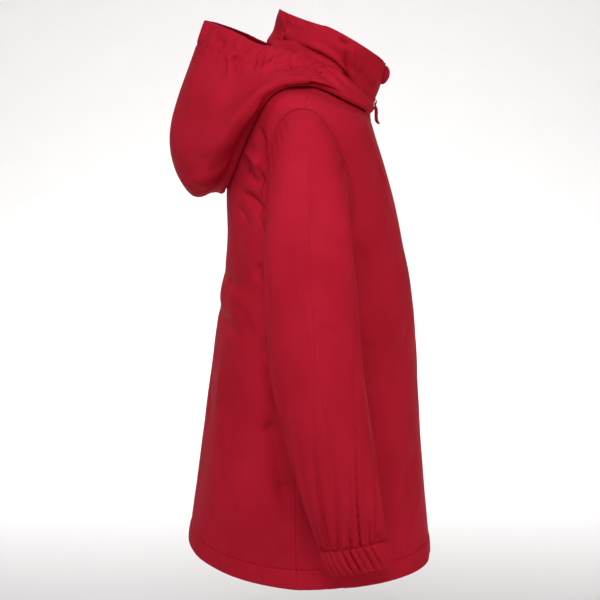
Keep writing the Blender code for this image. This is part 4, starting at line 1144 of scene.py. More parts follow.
# (turn in degrees from the top edge toward the front, height in mm) along each.
SLEEVE_CREASES = creases(
    # Fullness eased into the sleeve head: long narrow pleats in front.
    (((30, -42), (45, -55), (58, -72), (66, -96)), -2.7, 1.9, 1.6, 1.3, (0.0, 0.5)),
    (((25, -40), (40, -53), (52, -70), (58, -90)), -2.1, 1.7, 1.6, 1.3, (0.0, 0.5)),
    (((20, -38), (33, -50), (43, -66)), -1.7, 1.6, 1.6, 1.3, (0.0, 0.6)),
    (((36, -46), (54, -64), (68, -86), (74, -110)), -2.1, 2.0, 1.6, 1.3, (0.0, 0.5)),
    (((33, -46), (48, -62), (60, -84)), 1.4, 1.9, 1.0, 1.5, (0.1, 0.5)),
    # And short ones behind.
    (((-36, -45), (-31, -54), (-27, -62)), -1.2, 1.9, 1.3, 1.5, (0.0, 0.6)),
    (((-44, -52), (-39, -61), (-36, -72)), -1.4, 2.0, 1.3, 1.5, (0.0, 0.6)),
    (((-52, -60), (-47, -70), (-45, -84)), -1.5, 2.1, 1.3, 1.5, (0.0, 0.6)),
    (((-60, -70), (-55, -82), (-54, -98)), -1.4, 2.2, 1.3, 1.5, (0.0, 0.6)),
    (((-70, -82), (-66, -98), (-66, -120)), -1.5, 2.6, 1.3, 1.5, (0.0, 0.6)),
    # Dent in the front edge of the upper sleeve.
    (((62, -82), (52, -90), (40, -93)), -2.7, 3.6, 2.0, 1.4, (0.1, 0.5)),
    (((66, -94), (54, -101), (42, -102)), 1.5, 4.0, 1.4, 1.6, (0.1, 0.5)),
    # Soft long swells down the upper arm and round the elbow.
    (((-15, -140), (-18, -170), (-19, -200)), 1.4, 5.0, 1.5, 1.9),
    (((-10, -200), (-5, -226), (-1, -258)), 1.8, 4.6, 1.6, 1.8),
    (((-3, -205), (3, -232), (8, -262)), -1.1, 4.6, 1.4, 1.9),
    (((10, -224), (18, -232), (28, -238)), 0.8, 3.4, 1.4, 1.7),
    (((12, -231), (20, -240), (30, -246)), -0.7, 3.6, 1.4, 1.7),
    (((48, -118), (52, -160), (54, -210)), 1.3, 8.0, 1.0, 2.0),
    (((20, -110), (26, -160), (22, -215)), -1.1, 9.0, 1.0, 2.0),
    (((50, -262), (42, -290), (30, -312)), -1.4, 5.0, 1.7, 1.7),
    # The rear edge: a strip turned back behind a long fold.
    (((-80, -58), (-86, -92), (-90, -132), (-90, -176)), -5.0, 9.0, 1.0, 2.2, (0.2, 0.3)),
    (((-50, -180), (-66, -208), (-76, -242), (-72, -268)), -2.2, 2.4, 2.2, 1.3),
    (((-62, -178), (-80, -212), (-90, -246)), 2.0, 3.4, 1.4, 1.5),
    (((-84, -262), (-74, -284), (-66, -308), (-62, -338)), 2.5, 3.4, 1.5, 1.4),
    (((-96, -262), (-88, -290), (-80, -322)), -3.6, 5.0, 1.4),
    # Long folds that rise from the cuff.
    (((-36, -312), (-44, -350), (-58, -400), (-72, -450)), -2.4, 2.3, 2.2, 1.3, (0.6, 0.0)),
    (((-17, -306), (-24, -350), (-33, -400), (-43, -450)), -2.1, 2.2, 2.2, 1.3, (0.6, 0.0)),
    (((4, -322), (0, -360), (-10, -405), (-22, -450)), -2.2, 2.2, 2.2, 1.3, (0.6, 0.0)),
    (((22, -326), (17, -365), (9, -410), (-1, -450)), -2.0, 2.1, 2.2, 1.3, (0.6, 0.0)),
    (((43, -336), (36, -375), (27, -412), (17, -450)), -2.1, 2.1, 2.2, 1.3, (0.6, 0.0)),
    (((66, -348), (58, -385), (47, -420), (37, -450)), -2.1, 2.1, 2.2, 1.3, (0.6, 0.0)),
)


@dataclass(frozen=True)
class SleeveForm:
    """The right sleeve's form, gathered into its cuff."""

    # outer_x, outer_z, inner_x, inner_z, mid_y, half_y, rise, from the armhole to the wrist.
    rings: tuple = (
        (-0.1520, -0.0340, -0.1410, -0.1800, 0.0030, 0.0440, 0.00),
        (-0.1760, -0.0500, -0.1445, -0.1930, 0.0010, 0.0415, 0.00),
        (-0.1980, -0.0900, -0.1475, -0.2120, -0.0010, 0.0410, 0.00),
        (-0.2140, -0.1600, -0.1500, -0.2420, -0.0030, 0.0440, 0.00),
        (-0.2250, -0.2600, -0.1505, -0.3000, -0.0080, 0.0457, 0.00),
        (-0.2280, -0.3400, -0.1500, -0.3620, -0.0210, 0.0420, 0.05),
        (-0.2250, -0.4050, -0.1520, -0.4150, -0.0340, 0.0365, 0.11),
        (-0.2150, -0.4510, -0.1570, -0.4540, -0.0440, 0.0310, 0.17),
    )
    power: float = 2.05             # of the super-ellipse at the armhole
    flat_power: float = 2.75        # and below it, where the cloth hangs flatter
    head_reach: float = 2.6
    head_fade: float = 1.5
    arc_mm: float = 0.80            # length round the sleeve for a degree of turn
    steps: tuple[int, ...] = (15, 26, 43, 62, 49, 40, 35)
    relief: Relief = Relief(
        SLEEVE_CREASES, (Drift(95.0, 0.5, 41, 2.2), Drift(38.0, 0.13, 42, 2.0),
                         Drift(70.0, 0.2, 43, 2.6, ridged=True)), scale=(0.80, 1.0), seed=22)
    long_gathers: Gathers = Gathers(21, 4.2, 62.0, 51, 0.30, math.radians(0.20))
    short_gathers: Gathers = Gathers(41, 3.0, 16.0, 52, 0.30, math.radians(0.20))

    def ring(self, turn: Array, place: Array) -> Array:
        """Points of the plain right sleeve: turn 0 is its top edge, a quarter its front."""
        turn, place = arrays(turn, place)
        outer_x, outer_z, inner_x, inner_z, mid_y, half_y, rise = np.moveaxis(
            smooth_table(self.rings, place), -1, 0)
        up, forward = np.cos(turn), np.sin(turn)
        power = self.power + (self.flat_power - self.power) * smooth_step(place / 2.5)
        reach = (np.abs(up)**power + np.abs(forward)**power)**(-1.0 / power)
        up, forward = up * reach, forward * reach
        return np.stack((0.5 * (outer_x + inner_x) + 0.5 * (outer_x - inner_x) * up,
                         mid_y - half_y * forward,
                         0.5 * (outer_z + inner_z) + 0.5 * (outer_z - inner_z) * up
                         + rise * half_y * forward), axis=-1)

    def grid(self, seam: Array) -> tuple[Array, Array, Array]:
        """The plain sleeve's points below an armhole's seam, turns of its columns, and mm up from
        the wrist of its rows.
        """
        places = stepped(range(len(self.rings)), self.steps)
        turns = full_turn(len(seam))
        grid = self.ring(turns[None, :], places[:, None])
        fade = np.clip(1.0 - places / self.head_reach, 0.0, 1.0)**self.head_fade
        grid = grid + fade[:, None, None] * (seam - self.ring(turns, 0.0))[None]
        length = np.linalg.norm(np.diff(grid, axis=0), axis=-1).mean(axis=1) / MM
        from_wrist = np.concatenate((np.cumsum(length[::-1])[::-1], (0.0,)))
        return grid, turns, from_wrist

    def wrist(self, count: int) -> Array:
        """The sleeve's plain lower edge."""
        return self.ring(full_turn(count), len(self.rings) - 1.0)


@dataclass
class Sleeves(ClothPiece):
    """Both sleeves with their elastic cuffs."""

    grid: BodyGrid = field(default_factory=lambda: BodyGrid(BodyForm()))
    form: SleeveForm = SleeveForm()
    sleeve_cut: Cut = Cut((0.360, 0.440), 0.125)
    cuff_cut: Cut = Cut((0.290, 0.026), 0.0075, Held.GATHERED, doubled=True)
    cuff_height: float = 0.0250
    cuff_lean: float = -0.0080
    cuff_flare: float = 1.02
    cuff_wall: float = 0.0022
    cuff_drop: float = -0.0010      # its top edge lies a little up the sleeve
    cuff_columns: int = 320
    cuff_rows: int = 20
    cuff_gathers: Gathers = Gathers(31, 3.6, 1000.0, 61, 0.30, math.radians(0.35))
    cuff_creases: Drift = Drift(7.0, 0.30, 62, 4.0, ridged=True)

    def build(self) -> None:
        """Make both sleeves and both cuffs."""
        for side in Side:
            self.build_sleeve(side)
            self.build_cuff(side)

    def build_sleeve(self, side: Side) -> None:
        """Make one sleeve from the armhole's seam to the cuff's."""
        seam, out, _, _ = self.grid.armhole(side)
        plain, turns, from_wrist = self.form.grid(seam)
        normals = grid_normals(plain, closed=True)
        degrees = np.degrees((turns + math.pi) % FULL - math.pi)
        across = np.broadcast_to(degrees * self.form.arc_mm, plain.shape[:2])
        rise = self.form.relief.at(across, plain[..., 2] / MM, side)
        # Columns far behind the top edge read the same table from its other end.
        rise += self.form.relief.at(across - 360.0 * self.form.arc_mm, plain[..., 2] / MM, side)
        away = np.broadcast_to(from_wrist[:, None], plain.shape[:2])
        turn = np.broadcast_to(turns[None, :] * side.value, plain.shape[:2])
        rise += self.form.long_gathers.at(turn, away) + self.form.short_gathers.at(turn, away)
        from_seam = np.broadcast_to((from_wrist[0] - from_wrist)[:, None], plain.shape[:2])
        rise = rise * (1.0 - 0.65 * bump(away, 3.0)) - 1.0 * bump(away, 2.0)
        rise = rise * smooth_step(from_seam / 5.0) + 1.1 * bump(from_seam - 5.0, 4.0)
        outer = plain + normals * (rise * MM)[..., None]
        outer[0] = seam - out * 0.0007
        mesh = Mesh()
        wall(mesh, mirrored(outer, side), mirrored(normals, side),
             np.full(rise.shape, self.wall), closed=True)
        self.finished(mesh, "sleeve", self.sleeve_cut, (f"front_{side.word}", "back"), side)

    def build_cuff(self, side: Side) -> None:
        """Make one elastic cuff, a casing that its elastic draws into narrow gathers."""
        upper = self.form.wrist(self.cuff_columns)
        middle = upper.mean(axis=0)
        spokes = unit(upper - middle)
        radius = np.linalg.norm(upper - middle, axis=1).mean()
        down = unit(np.array((0.0, self.cuff_lean, -self.cuff_height)))
        turn = full_turn(self.cuff_columns)[None] * side.value
        share = dense_ends(self.cuff_rows, self.cuff_height / MM, (0.4, 1.0, 1.8))[:, None]
        away = share * self.cuff_height / MM * np.ones_like(turn)
        swell = 0.45 + 0.55 * np.sqrt(np.clip(np.sin(math.pi * share), 0.0, 1.0))
        rise = swell * self.cuff_gathers.at(np.broadcast_to(turn, away.shape), away)
        rise += self.cuff_creases.at(turn * radius / MM, away) * np.sin(math.pi * share)
        rise += 1.5 * np.sin(math.pi * share)**0.6 - 0.3 * (1.0 - share) + 0.6
        flare = radius * (self.cuff_flare - 1.0) * share
        drop = (self.cuff_drop + self.cuff_height * share)[..., None]
        outer = upper[None] + down * drop + spokes[None] * (rise * MM + flare)[..., None]
        normals = np.broadcast_to(spokes[None], outer.shape)
        thickness = self.cuff_wall + rise * MM
        self.pinch(outer, normals, thickness, (0, -1))
        mesh = Mesh()
        wall(mesh, mirrored(outer, side), mirrored(normals, side), thickness, closed=True)
        self.finished(mesh, "cuff", self.cuff_cut, (f"sleeve_{side.word}",), side)
        line = upper + down * (self.cuff_drop - 0.0006) + spokes * (0.9 * MM)
        Stitches(self.finishes).sew(f"cuff_stitches_{side.word}", mirrored(line, side),
                                    mirrored(spokes, side), closed=True)


@dataclass
class Stitches:
    """Lines of lockstitch in sewing thread, each a short bar that sinks into the cloth."""

    finishes: Finishes
    length: float = 0.0026
    pitch: float = 0.0033
    radius: float = 0.00018

    def sew(self, name: str, line: Array, out: Array, closed: bool = False) -> None:
        """Sew along a line.

        Args:
            name: the object's name.
            line: closely spaced points on the cloth.
            out: the cloth's outward direction at each point.
            closed: whether the line's end meets its start.
        """
        if closed:
            line, out = np.vstack((line, line[:1])), np.vstack((out, out[:1]))
        along = run_lengths(line)
        count = max(1, int(along[-1] / self.pitch))
        starts = np.arange(count) * along[-1] / count
        ends = starts + self.length

        def read(values: Array, places: Array) -> Array:
            """Values at distances along the line."""
            return np.stack([np.interp(places, along, values[:, axis]) for axis in range(3)], -1)

        mesh = Mesh()
        capsules(mesh, read(line, starts), read(line, np.minimum(ends, along[-1])),
                 unit(read(out, 0.5 * (starts + ends))), self.radius)
        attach(mesh.build(name, (self.finishes.thread,)), JACKET)
        LOG.info("%s: %d stitches", name, count)


@dataclass
class BodyStitching:
    """The visible rows of stitching on the body."""

    finishes: Finishes
    grid: BodyGrid
    edge: float = 0.0060            # from the front's edge to its row of stitches
    top_level: float = 6.6
    armhole_in: float = math.radians(1.3)
    samples: int = 900

    def build(self) -> None:
        """Sew hem, armholes and front edges."""
        sewing = Stitches(self.finishes)
        form = self.grid.form
        hem = form.casing_mm / form.hem_span_mm
        start = math.asin(ZIP_HALF_GAP / form.rings[0][HALF_WIDTH])
        angles = np.linspace(start, FULL - start, self.samples)
        sewing.sew("hem_stitches", *form.dressed(angles, hem))
        levels = np.linspace(hem, self.top_level, self.samples // 2)
        beside = np.arcsin((ZIP_HALF_GAP + self.edge) / form.sizes(levels)[..., HALF_WIDTH])
        for side in Side:
            _, _, angle, level = self.grid.armhole(side)
            off_side = np.abs(angle) - QUARTER
            shift = np.where(np.abs(off_side) > 0.02,
                             np.sign(off_side) * side.value * self.armhole_in, 0.0)
            sewing.sew(f"armhole_stitches_{side.word}", *form.dressed(angle + shift, level),
                       closed=True)
            sewing.sew(f"front_edge_stitches_{side.word}",
                       *form.dressed(beside * side.value, levels))


# (ring angle in degrees, share of the stand) along each.
COLLAR_CREASES = creases(
    # The deep crease where the collar buckles over the hood's neck seam.
    (((122, 0.64), (110, 0.58), (97.5, 0.51), (87, 0.45), (77, 0.42), (68, 0.36), (61, 0.27),
     (55, 0.16)), -7.0, 2.0, 2.6, 1.2, (0.3, 0.1)),
    (((104, 0.66), (92, 0.58), (80, 0.54), (70, 0.47)), 3.6, 3.0, 1.5, 1.5),
    (((110, 0.4), (98, 0.33), (86, 0.27), (74, 0.2)), 4.5, 4.6, 1.3, 1.9),
    # A pinch that rises from it toward the top edge.
    (((71, 0.92), (67, 0.72), (62, 0.45), (57, 0.16)), -5.2, 1.9, 1.6, 1.3, (0.35, 0.1)),
    (((65.5, 0.93), (62, 0.7), (57.5, 0.42), (54, 0.14)), 4.5, 1.7, 1.5, 1.3, (0.2, 0.1)),
    (((78, 0.9), (72, 0.86), (67, 0.9)), -3.8, 2.4),
    # Small curls near the back.
    (((136, 0.8), (131, 0.72), (136, 0.62)), 3.8, 1.8, 1.0, 1.4),
    (((142, 0.78), (138, 0.7), (142, 0.6)), -3.2, 1.9, 1.0, 1.5),
    (((158, 0.56), (146, 0.58), (130, 0.62), (116, 0.66)), -3.1, 1.8, 2.0, 1.3),
    (((150, 0.36), (140, 0.44), (128, 0.4)), 3.2, 3.5, 1.4, 1.7),
    # Slack in the top edge.
    (((154, 1.0), (146, 0.9), (137, 0.82)), 2.1, 2.2, 1.6, 1.4, (0.0, 0.5)),
    (((140, 1.0), (131, 0.92), (121, 0.85)), 2.1, 2.2, 1.6, 1.4, (0.0, 0.5)),
    (((128, 1.0), (120, 0.92), (112, 0.86)), 2.0, 2.2, 1.6, 1.4, (0.0, 0.5)),
    (((110, 1.0), (103, 0.94), (96, 0.88)), 1.6, 2.6, 1.6, 1.4, (0.0, 0.5)),
    (((47, 0.92), (45, 0.66), (48, 0.36)), -2.1, 3.4, 1.4, 1.8),
    (((30, 0.96), (27, 0.7), (30, 0.4)), 2.0, 4.0, 1.4, 1.9),
    (((40, 0.3), (30, 0.22), (20, 0.2)), -2.1, 2.4, 1.6, 1.5),
)


@dataclass(frozen=True)
class CollarForm:
    """The stand-up collar's form above the body's neck ring."""

    body: BodyForm
    rings: tuple = (
        (0.0170, -0.0200, 0.0280, 0.0628, -0.0752, 0.0420, -0.0130),
        (0.0425, 0.0046, 0.0605, 0.0610, -0.0815, 0.0285, -0.0200),
    )
    folds: tuple = (
        (62.0, 0.520, 0.0330, 0.0050, 12.0, -0.0035),
        (36.0, 0.380, 0.0160, 0.0050, 52.0, -0.0028),
        (84.0, 0.360, 0.0300, 0.0060, 8.0, 0.0012),
        (168.0, 0.700, 0.0420, 0.0080, 0.0, -0.0048),
    )
    fold_radius: float = 0.058
    stand: float = 0.050
    arc_mm: float = 1.012
    relief: Relief = Relief(
        COLLAR_CREASES, (Drift(34.0, 0.30, 71), Drift(15.0, 0.10, 72),
                         Drift(26.0, 0.18, 73, ridged=True)), scale=(1.012, 50.0), seed=23)

    def sizes(self, height: Array) -> Array:
        """The ring's sizes at heights from 0, the neck seam, to 1, the top edge."""
        rings = (self.body.rings[-1], *self.rings)
        return smooth_table(rings, np.asarray(height) * (len(rings) - 1))

    def plain(self, angle: Array, height: Array) -> Array:
        """Points of the form without its folds."""
        angle, height = arrays(angle, height)
        return ring_points(angle, self.sizes(height))

    def soft(self, angle: Array, height: Array) -> Array:
        """Points of the form with its soft folds."""
        angle, height = arrays(angle, height)
        folds = [(middle, share * self.stand, *rest) for middle, share, *rest in self.folds]
        rise = soft_folds(angle, height * self.stand, folds, self.fold_radius)
        return (self.plain(angle, height)
                + surface_normals(self.plain, angle, height) * rise[..., None])

    def dressed(self, angle: Array, height: Array) -> tuple[Array, Array]:
        """Points of the dressed cloth, and the outward directions it was moved along."""
        angle, height = arrays(angle, height)
        normals = surface_normals(self.plain, angle, height)
        from_front = np.degrees(off_front(angle))
        across, up = from_front * self.arc_mm, height * self.stand / MM
        rise = self.relief.around(angle, across, up, 12.0)
        rise = rise * (0.2 + 0.8 * smooth_step(height / 0.15))
        rise = rise * smooth_step((from_front - 4.0) / 12.0)
        return self.soft(angle, height) + normals * (rise * MM)[..., None], normals


@dataclass
class Collar(ClothPiece):
    """The collar: two layers of cloth in one wall, with a rolled top edge."""

    form: CollarForm = field(default_factory=lambda: CollarForm(BodyForm()))
    foot: float = 0.008
    thickness: float = 0.0022
    rows: int = 38
    columns: int = 230
    length_mm: float = 290.0
    cut: Cut = Cut((0.310, 0.060), 0.0160, doubled=True)

    def build(self) -> None:
        """Make the collar."""
        share = dense_ends(self.columns, self.length_mm)
        heights = self.foot + (1.0 - self.foot) * dense_ends(self.rows, self.form.stand / MM,
                                                              (0.3, 0.9, 1.8))
        half_width = self.form.sizes(heights)[..., HALF_WIDTH]
        edge = np.arcsin(ZIP_HALF_GAP / half_width)[:, None]
        angles = edge * (1.0 - share) + (FULL - edge) * share
        outer, normals = self.form.dressed(angles, heights[:, None])
        thickness = np.full(outer.shape[:2], self.thickness)
        self.pinch(outer, normals, thickness, (-1,))
        mesh = Mesh()
        wall(mesh, outer, normals, thickness)
        self.finished(mesh, "collar", self.cut, ("back", "front_right", "front_left"))


# (station, row) along each; row 0 is the brim, 1 the belly, 2 the lower bulge, 3 the fold.
HOOD_CREASES = creases(
    (((6.45, 0.0), (6.3, 0.12), (6.15, 0.22)), -3.5, 2.6, 1.6, 1.4, (0.0, 0.2)),
    (((6.65, 0.0), (6.6, 0.12), (6.5, 0.2)), 2.0, 3.0, 1.3, 1.6, (0.0, 0.3)),
    # Facets where the hood's front end is crushed against the collar.
    (((3.9, 0.62), (3.3, 0.4), (2.7, 0.22), (2.2, 0.1)), 3.4, 2.6, 1.8, 1.2, (0.3, 0.2)),
    (((3.5, 0.8), (2.9, 0.55), (2.4, 0.5), (1.9, 0.62)), -3.6, 3.0, 1.6, 1.3),
    (((1.9, 0.2), (1.5, 0.55), (1.1, 0.95), (0.8, 1.5)), -4.2, 2.4, 1.8, 1.2, (0.3, 0.2)),
    (((2.3, 0.35), (1.9, 0.75), (1.55, 1.2), (1.3, 1.9)), 3.6, 2.6, 1.7, 1.3, (0.3, 0.4)),
    (((2.9, 0.3), (2.75, 0.55), (2.6, 0.95)), -3.0, 2.4, 1.6, 1.3),
    # Slack in the casing beside its gathering.
    (((5.9, 0.1), (5.5, 0.16), (5.2, 0.2)), -3.0, 4.0, 1.3, 1.8),
    (((5.1, 0.08), (4.9, 0.15), (4.75, 0.22)), 2.8, 3.2, 1.5, 1.5),
    (((4.75, 0.02), (4.6, 0.12), (4.5, 0.24)), -2.3, 3.0, 1.5, 1.5),
    (((4.45, 0.26), (4.25, 0.14), (4.0, 0.05)), 2.8, 2.6, 1.5, 1.4),
    (((4.1, 0.44), (3.95, 0.24), (3.7, 0.12), (3.3, 0.18)), 2.6, 3.0, 1.5, 1.4),
    (((3.9, 0.42), (3.6, 0.32), (3.3, 0.36)), -2.3, 3.4, 1.5),
    (((3.4, 0.42), (3.1, 0.5), (2.85, 0.6), (2.55, 0.1)), 3.5, 2.8, 1.7, 1.3),
    (((3.0, 0.95), (2.8, 0.66), (2.6, 0.38)), -2.8, 3.0, 1.5, 1.5),
    (((2.75, 0.02), (2.55, 0.1), (2.4, 0.02)), 3.2, 2.6, 1.0, 1.5, (0.1, 0.1)),
    (((2.5, 1.64), (2.2, 0.9), (1.9, 0.3)), 2.8, 2.4, 1.7, 1.4),
    (((2.1, 1.42), (2.3, 1.8), (2.5, 2.28)), -2.6, 2.4, 1.5, 1.5),
    # A lens-shaped bulge by the hood's front end.
    (((1.7, 0.1), (1.35, 0.45), (1.05, 1.1), (0.9, 1.7)), 3.5, 2.2, 2.0, 1.3),
    (((1.9, 0.92), (1.6, 1.5), (1.35, 2.1), (1.1, 2.6)), -3.2, 2.2, 1.8, 1.4),
    (((0.9, 0.3), (0.7, 1.0), (0.5, 1.8)), -2.0, 2.4, 1.5, 1.5),
    # Below the casing: a short fold with a hollow beside it.
    (((5.15, 0.24), (4.95, 0.34), (4.8, 0.46), (4.75, 0.62)), 4.6, 3.0, 1.8, 1.3, (0.1, 0.5)),
    (((4.9, 0.25), (4.65, 0.36), (4.5, 0.48), (4.45, 0.62)), -4.4, 4.4, 1.3, 1.6, (0.1, 0.5)),
    (((6.2, 0.26), (6.0, 0.5), (5.8, 0.85), (5.7, 1.2)), 2.0, 9.0, 1.0, 2.0),
    (((4.3, 0.6), (4.5, 0.95), (4.9, 1.3)), -1.8, 9.0, 1.0, 2.0),
    (((4.2, 2.4), (4.6, 2.2), (5.0, 2.05), (5.4, 2.05)), 2.8, 8.0, 1.3, 2.0),
    # The cloth rolls over the fold in one full curve.
    (((1.0, 2.62), (2.2, 2.62), (3.4, 2.6), (4.4, 2.55), (5.2, 2.5), (6.2, 2.48), (7.2, 2.48)), 4.2,
     10.0, 1.0, 2.2, (0.2, 0.0)),
    # Where the bag's bottom lies against the back it crumples.
    (((5.45, 1.75), (5.6, 2.0), (5.65, 2.3), (5.6, 2.5)), -2.6, 4.6, 1.6, 1.4),
    (((5.9, 1.8), (5.85, 2.15), (5.9, 2.5), (5.8, 2.85)), 2.0, 4.2, 1.4, 1.4),
    (((6.25, 1.9), (6.1, 2.2), (6.2, 2.5)), -1.8, 5.0, 1.3),
    (((6.6, 1.7), (6.3, 1.95), (6.0, 2.05)), 2.1, 4.0, 1.5, 1.5),
)


@dataclass
class Hood(ClothPiece):
    """The folded-down hood: two halves joined by a centre seam, with a casing round the brim."""

    body: BodyForm = field(default_factory=BodyForm)
    # brim xyz, belly xyz, lower fullness, fold angle, fold level, fold top, neck angle; from the
    # front end to the centre seam.
    stations: tuple = (
        (-0.0335, -0.0655, -0.0345, -0.0415, -0.0675, -0.0390, 0.000, 29.0, 6.15, 0.0062, 29.0),
        (-0.0590, -0.0370, -0.0040, -0.0790, -0.0450, -0.0160, 0.000, 60.0, 6.05, 0.0075, 60.0),
        (-0.0660, -0.0100, 0.0098, -0.0930, -0.0120, -0.0020, 0.007, 83.0, 5.98, 0.0080, 84.0),
        (-0.0705, 0.0170, 0.0190, -0.1080, 0.0240, -0.0020, 0.009, 103.0, 5.74, 0.0082, 104.0),
        (-0.0735, 0.0430, 0.0246, -0.1160, 0.0580, -0.0180, 0.0120, 117.0, 5.22, 0.0085, 122.0),
        (-0.0690, 0.0670, 0.0356, -0.0980, 0.0960, -0.0380, 0.0165, 134.0, 4.58, 0.0090, 142.0),
        (-0.0440, 0.0915, 0.0452, -0.0560, 0.1280, -0.0540, 0.0215, 154.0, 3.97, 0.0095, 161.0),
        (0.0000, 0.1045, 0.0487, 0.0000, 0.1410, -0.0630, 0.0240, 180.0, 3.75, 0.0095, 180.0),
    )
    lower_share: float = 0.80
    droop: float = 0.0085           # how far the bag's bottom sags toward the centre seam
    bend: float = 0.018
    under_lift: float = 0.0027
    under_arch: float = 0.0016
    seam_lift: float = 0.0006
    neck_level: float = 6.94
    columns: int = 160
    upper_rows: int = 126
    under_rows: int = 16
    casing_mm: float = 25.0
    casing_rise_mm: float = 0.9
    casing_wall: float = 0.0012     # one more layer of cloth and its air
    station_mm: float = 34.0        # about the width of cloth from one station to the next
    under_places: tuple[float, float] = (0.35, 0.7)    # shares of the turn under the fold
    start_gap_mm: float = 3.2       # the last even column stands this far from the centre seam
    half_mm: float = 235.0          # length of a half's brim
    cut: Cut = Cut((0.330, 0.300), 0.075, Held.FOLDED)
    drifts: tuple[Drift, ...] = (Drift(75.0, 0.5, 81), Drift(30.0, 0.14, 82),
                                 Drift(55.0, 0.22, 83, ridged=True))
    brim_gathers: Gathers = Gathers(62, 1.7, 7.0, 84, 0.35)
    brim_swags: Gathers = Gathers(17, 2.4, 14.0, 85, 0.45)

    @property
    def centre(self) -> float:
        """Number of the station on the centre seam."""
        return len(self.stations) - 1.0

    def layers(self, stations: Array, rows: Array) -> Array:
        """Rows of points of the right half: upper layer, fold, under layer, neck seam.

        Args:
            stations: places from the front end, 0, to the centre seam, 7.
            rows: places on the upper layer from the brim, 0, to the fold, 3.

        Returns:
            Grid of points.
        """
        table = np.array(self.stations)
        beyond = table[-2] * np.array((-1, 1, 1, -1, 1, 1, 1, -1, 1, 1, -1))
        beyond[[7, 10]] += 360.0
        sizes = smooth_table(np.vstack((table, beyond)), stations)
        brim, belly = sizes[:, 0:3], sizes[:, 3:6]
        fullness, fold_level, fold_top = sizes[:, 6], sizes[:, 8], sizes[:, 9]
        fold_angle, neck_angle = np.radians(sizes[:, 7]), np.radians(sizes[:, 10])

        def off_body(angle: Array, level: Array, lift: Array) -> Array:
            """Points at a distance out of the body."""
            normals = surface_normals(self.body.plain, angle, level)
            return self.body.soft(angle, level) + normals * np.asarray(lift)[..., None]

        fold = off_body(fold_angle, fold_level, fold_top)
        away = unit(belly * np.array((1.0, 1.0, 0.0)))
        lower = belly + (fold - belly) * self.lower_share + away * fullness[:, None]
        lower[:, 2] -= self.droop * smooth_step((stations - 3.6) / 2.6)
        knots = np.stack((brim, belly, lower, fold)).reshape(4, -1)
        grid = [smooth_table(knots, share).reshape(-1, 3) for share in rows]
        for share in self.under_places:
            grid.append(off_body(fold_angle, fold_level - self.bend * math.sin(math.pi * share),
                                 fold_top + (self.under_lift - fold_top) * share))
        for share in np.linspace(0.0, 1.0, self.under_rows + 1):
            lift = (self.under_lift * (1.0 - share) + self.seam_lift * share
                    + self.under_arch * math.sin(math.pi * share))
            grid.append(off_body(fold_angle + (neck_angle - fold_angle) * share,
                                 fold_level + (self.neck_level - fold_level) * share,
                                 np.full(len(fold_angle), lift)))
        return np.array(grid)

    def build(self) -> None:
        """Make both halves and the stitches of their casing."""
        reach = self.start_gap_mm / self.half_mm
        stations = self.centre * np.concatenate((
            np.linspace(0.0, 1.0 - reach, self.columns + 1),
            1.0 - reach * np.array((0.6, 0.33, 0.14, 0.0))))
        rows = 3.0 * np.linspace(0.0, 1.0, self.upper_rows + 1)**1.25
        plain = self.layers(stations, rows)
        normals = -grid_normals(plain, closed=False)
        lengths = np.linalg.norm(np.diff(plain, axis=0), axis=-1) / MM
        along = np.concatenate((np.zeros((1, plain.shape[1])), np.cumsum(lengths, axis=0)))
        for side in Side:
            self.build_half(side, stations, rows, plain, normals, along)

    def rise_mm(self, side: Side, stations: Array, rows: Array, along: Array) -> Array:
        """How far folds, casing and seam move a half's cloth out, in mm."""
        upper = len(rows)

        def placed(crease: Crease) -> Crease:
            """The crease with its rows turned into mm from the brim."""
            path = []
            for station, row in crease.path:
                column = int(np.argmin(np.abs(stations - station)))
                path.append((station * self.station_mm,
                             float(np.interp(row, rows, along[:upper, column]))))
            return replace(crease, path=tuple(path))

        across = np.broadcast_to(stations[None] * self.station_mm, along.shape)
        relief = Relief(tuple(map(placed, HOOD_CREASES)), self.drifts, (1.0, 1.0), seed=24)
        rise = relief.at(across, along, side)
        from_stitch = np.abs(along - self.casing_mm)
        turn = across / across.max() * FULL * 0.98 + 0.4 * side.value
        present = smooth_step((stations - 1.2) / 0.8)[None]
        gathers = (self.brim_gathers.at(turn, from_stitch)
                   + self.brim_swags.at(turn, np.abs(along - self.casing_mm + 4.0)))
        rise = rise + gathers * present
        rise = rise * smooth_step((stations + 0.6) / 1.2)[None]
        from_centre = (self.centre - stations) * self.station_mm
        rise = rise * (1.0 - bump(from_centre, 9.0))[None]
        inside = smooth_step((self.casing_mm - along) / 1.6)
        puff = np.sqrt(np.clip(1.0 - (2.0 * along / self.casing_mm - 1.0)**2, 0.0, 1.0))
        rise = rise + inside * self.casing_rise_mm * (0.25 + 0.75 * puff)
        rise = rise - 0.9 * bump(from_stitch, 1.1)
        rise = rise - 0.6 * bump(from_centre, 1.3)[None] + 0.3 * bump(from_centre - 4.0, 2.0)[None]
        to_fold = along[upper - 1] - along
        return rise * smooth_step(to_fold / 8.0)

